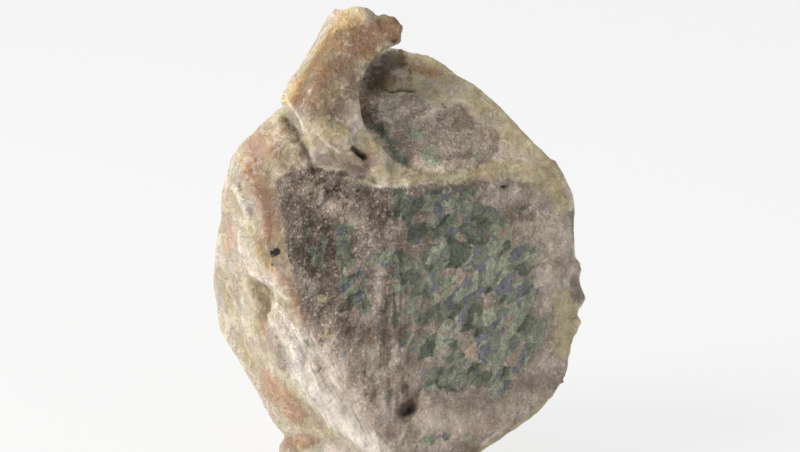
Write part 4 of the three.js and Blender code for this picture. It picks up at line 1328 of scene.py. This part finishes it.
        # The core's flakes, each a step of its own.
        steps = {"Vector": self.finish.flaked(tree, at), "Scale": 1 / self.finish.flake_size}
        steps = add(tree, "ShaderNodeTexVoronoi", steps, "Color", distance="MANHATTAN")
        steps = add(tree, "FunctionNodeSeparateColor", {0: steps}, 0)
        steps = add(tree, "ShaderNodeMath", {0: steps, 1: 0.5}, operation="SUBTRACT")
        struck = {"Value": core, "From Min": 0.0, "From Max": 1.5, "To Max": 0.8}
        struck = add(tree, "ShaderNodeMapRange", struck)
        height = add(tree, "ShaderNodeMath", {0: steps, 1: struck, 2: height}, operation="MULTIPLY_ADD")

        # The pale side's ledges.
        ledge = self.finish.strands(tree, at, self.ledge_width)
        ledge = {"Value": ledge, "From Min": 0.4, "From Max": 0.62}
        ledge = add(tree, "ShaderNodeMapRange", ledge, interpolation_type="SMOOTHSTEP")
        ledge = add(tree, "ShaderNodeMath", {0: ledge, 1: fibre}, operation="MULTIPLY")
        height = add(tree, "ShaderNodeMath", {0: ledge, 1: 0.6, 2: height}, operation="MULTIPLY_ADD")

        metres = add(tree, "ShaderNodeMath", {0: height, 1: MM}, operation="MULTIPLY")
        out = add(tree, "GeometryNodeInputNormal", {})
        offset = add(tree, "ShaderNodeVectorMath", {0: out, "Scale": metres}, operation="SCALE")
        start = add(tree, "NodeGroupInput", {})
        moved = add(tree, "GeometryNodeSetPosition", {"Geometry": start, "Offset": offset})
        add(tree, "NodeGroupOutput", {0: moved})
        return tree

    def roughen(self, piece: bpy.types.Object) -> None:
        """Gives the skin its lumps, steps and ledges.

        Args:
            piece: The stone.
        """
        modifier = piece.modifiers.new("relief", "NODES")
        modifier.node_group = self.relief()
        bpy.ops.object.modifier_apply(modifier="relief")
        self.move(piece, self.points(piece))

    def measure_hollows(self, piece: bpy.types.Object, passes: int = 16) -> None:
        """Keeps how far each vertex lies below its surroundings, for the painted shade and dirt of
        hollows.

        Args:
            piece: The stone.
            passes: How far its surroundings reach, in passes of averaging.
        """
        points, normals = self.points(piece), self.normals(piece)
        edges = np.empty(len(piece.data.edges) * 2, np.int32)
        piece.data.edges.foreach_get("vertices", edges)
        one, other = edges.reshape(-1, 2).T
        count = np.bincount(edges, minlength=len(points))[:, None]
        around = points.copy()
        for _ in range(passes):
            sums = [
                np.bincount(one, around[other, axis], len(points))
                + np.bincount(other, around[one, axis], len(points))
                for axis in range(3)
            ]
            around = np.stack(sums, axis=1) / count
        self.keep(piece, Skin.HOLLOW.value, ((around - points) * normals).sum(axis=1) / MM)

    def build(self, solid: bpy.types.Object) -> bpy.types.Object:
        """Makes the stone and puts it in its solid's place.

        Args:
            solid: The solid that it stands for.

        Returns:
            The finished stone.
        """
        piece = self.blank(solid)
        self.paint(piece)
        self.carve(piece)
        self.roughen(piece)
        self.measure_hollows(piece)
        piece.data.materials.append(self.finish.material())
        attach(piece, BODY)
        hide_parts(NODE)
        log.info("%s: %d faces", piece.name, len(piece.data.polygons))
        return piece


# ---------------------------------------------------------------- the studio


@dataclass(frozen=True)
class LitOpalAcrylic:
    """The floor's finish: opal acrylic lit from below, matt and so bright that shadows stay faint.

    Attributes:
        body: Its own colour.
        light: The colour of the light in it.
        glow: How strong that light is.
        roughness: How matt it is.
    """

    body: str = "#7c7c7c"
    light: str = "#ffffff"
    glow: float = 0.74
    roughness: float = 0.9

    def material(self) -> bpy.types.Material:
        """Makes the material.

        Returns:
            The material.
        """
        made = bpy.data.materials.new("lit_opal_acrylic")
        made.use_nodes = True
        shader = made.node_tree.nodes["Principled BSDF"]
        shader.inputs["Base Color"].default_value = linear(self.body)
        shader.inputs["Roughness"].default_value = self.roughness
        shader.inputs["Emission Color"].default_value = linear(self.light)
        shader.inputs["Emission Strength"].default_value = self.glow
        return made


@dataclass
class Studio:
    """The pale floor, the soft light and the camera.

    Attributes:
        frame: The face-on frame, along which the camera looks.
        lens: The camera's focal length, in millimetres.
        reach: How far the floor reaches to each side, and how high it rises, in metres.
        sweep: The radius of its sweep, in metres.
        aim: What the lamps are aimed at, in metres.
        finish: The floor's finish.
    """

    frame: FaceOn = field(default_factory=FaceOn)
    lens: float = 100.0
    reach: float = 4.0
    sweep: float = 2.0
    aim: Place = (0.0, 0.0, 0.05)
    finish: LitOpalAcrylic = field(default_factory=LitOpalAcrylic)

    def floor(self) -> bpy.types.Object:
        """Makes the floor, a sheet that sweeps up at the back and the left.

        Returns:
            The floor.
        """
        bpy.ops.object.select_all(action="DESELECT")
        bpy.ops.mesh.primitive_plane_add(size=2 * self.reach, location=(0, 0, 0))
        floor = bpy.context.object
        floor.name = "studio_floor"
        bpy.ops.object.mode_set(mode="EDIT")
        bpy.ops.mesh.select_all(action="DESELECT")
        bpy.ops.object.mode_set(mode="OBJECT")
        almost = 0.99 * self.reach
        for edge in floor.data.edges:
            one, other = (floor.data.vertices[i].co for i in edge.vertices)
            edge.select = min(one.y, other.y) > almost or max(one.x, other.x) < -almost
        bpy.ops.object.mode_set(mode="EDIT")
        rise = {"value": (0, 0, self.reach)}
        bpy.ops.mesh.extrude_region_move(TRANSFORM_OT_translate=rise)
        bpy.ops.object.mode_set(mode="OBJECT")
        sweep = floor.modifiers.new("sweep", "BEVEL")
        sweep.width = self.sweep
        sweep.segments = 16
        bpy.ops.object.modifier_apply(modifier="sweep")
        bpy.ops.object.shade_smooth()
        floor.data.materials.append(self.finish.material())
        log.info("%s: %d faces", floor.name, len(floor.data.polygons))
        return floor

    def lamp(self, name: str, place: Place, size: float, power: float, code: str) -> None:
        """Hangs a soft square lamp that is aimed at the stone.

        Args:
            name: Its name.
            place: Where it hangs, in metres.
            size: Its side, in metres.
            power: Its power, in watts.
            code: Its colour.
        """
        light = bpy.data.lights.new(name, "AREA")
        light.size = size
        light.energy = power
        light.color = linear(code)[:3]
        lamp = bpy.data.objects.new(name, light)
        bpy.context.scene.collection.objects.link(lamp)
        lamp.location = place
        beam = Vector(self.aim) - Vector(place)
        lamp.rotation_euler = beam.to_track_quat("-Z", "Y").to_euler()
        lamp.visible_camera = False
        log.info("%s: %g W", name, power)

    def light(self) -> None:
        """Lights the stone softly, mostly from the upper left."""
        self.lamp("key", (-0.86, -0.36, 0.72), 0.7, 9.0, "#fffaf3")
        self.lamp("fill", (0.9, -0.9, 0.6), 0.9, 1.2, "#f6f8ff")
        world = bpy.data.worlds.new("studio_air")
        world.use_nodes = True
        air = world.node_tree.nodes["Background"]
        air.inputs["Color"].default_value = linear("#f7f7f7")
        air.inputs["Strength"].default_value = 0.42
        bpy.context.scene.world = world

    def camera(self) -> None:
        """Sets the camera up, looking straight at the broken face."""
        data = bpy.data.cameras.new("camera")
        data.lens = self.lens
        data.sensor_width = 36.0
        data.clip_start = 0.01
        camera = bpy.data.objects.new("camera", data)
        bpy.context.scene.collection.objects.link(camera)
        camera.location = self.frame.point((0, -self.frame.eye, 0))
        camera.rotation_euler = (math.radians(90 - self.frame.lean), 0, 0)
        bpy.context.scene.camera = camera
        bpy.context.scene.view_settings.view_transform = "Standard"
        log.info("%s: %g mm", camera.name, self.lens)


def main() -> None:
    """Builds the stone and the studio."""
    logging.basicConfig(level=logging.INFO, format="%(message)s")
    studio = Studio()
    studio.camera()
    studio.floor()
    studio.light()
    Rock().build(frame["nodes"][NODE])


if __name__ == "__main__":
    main()
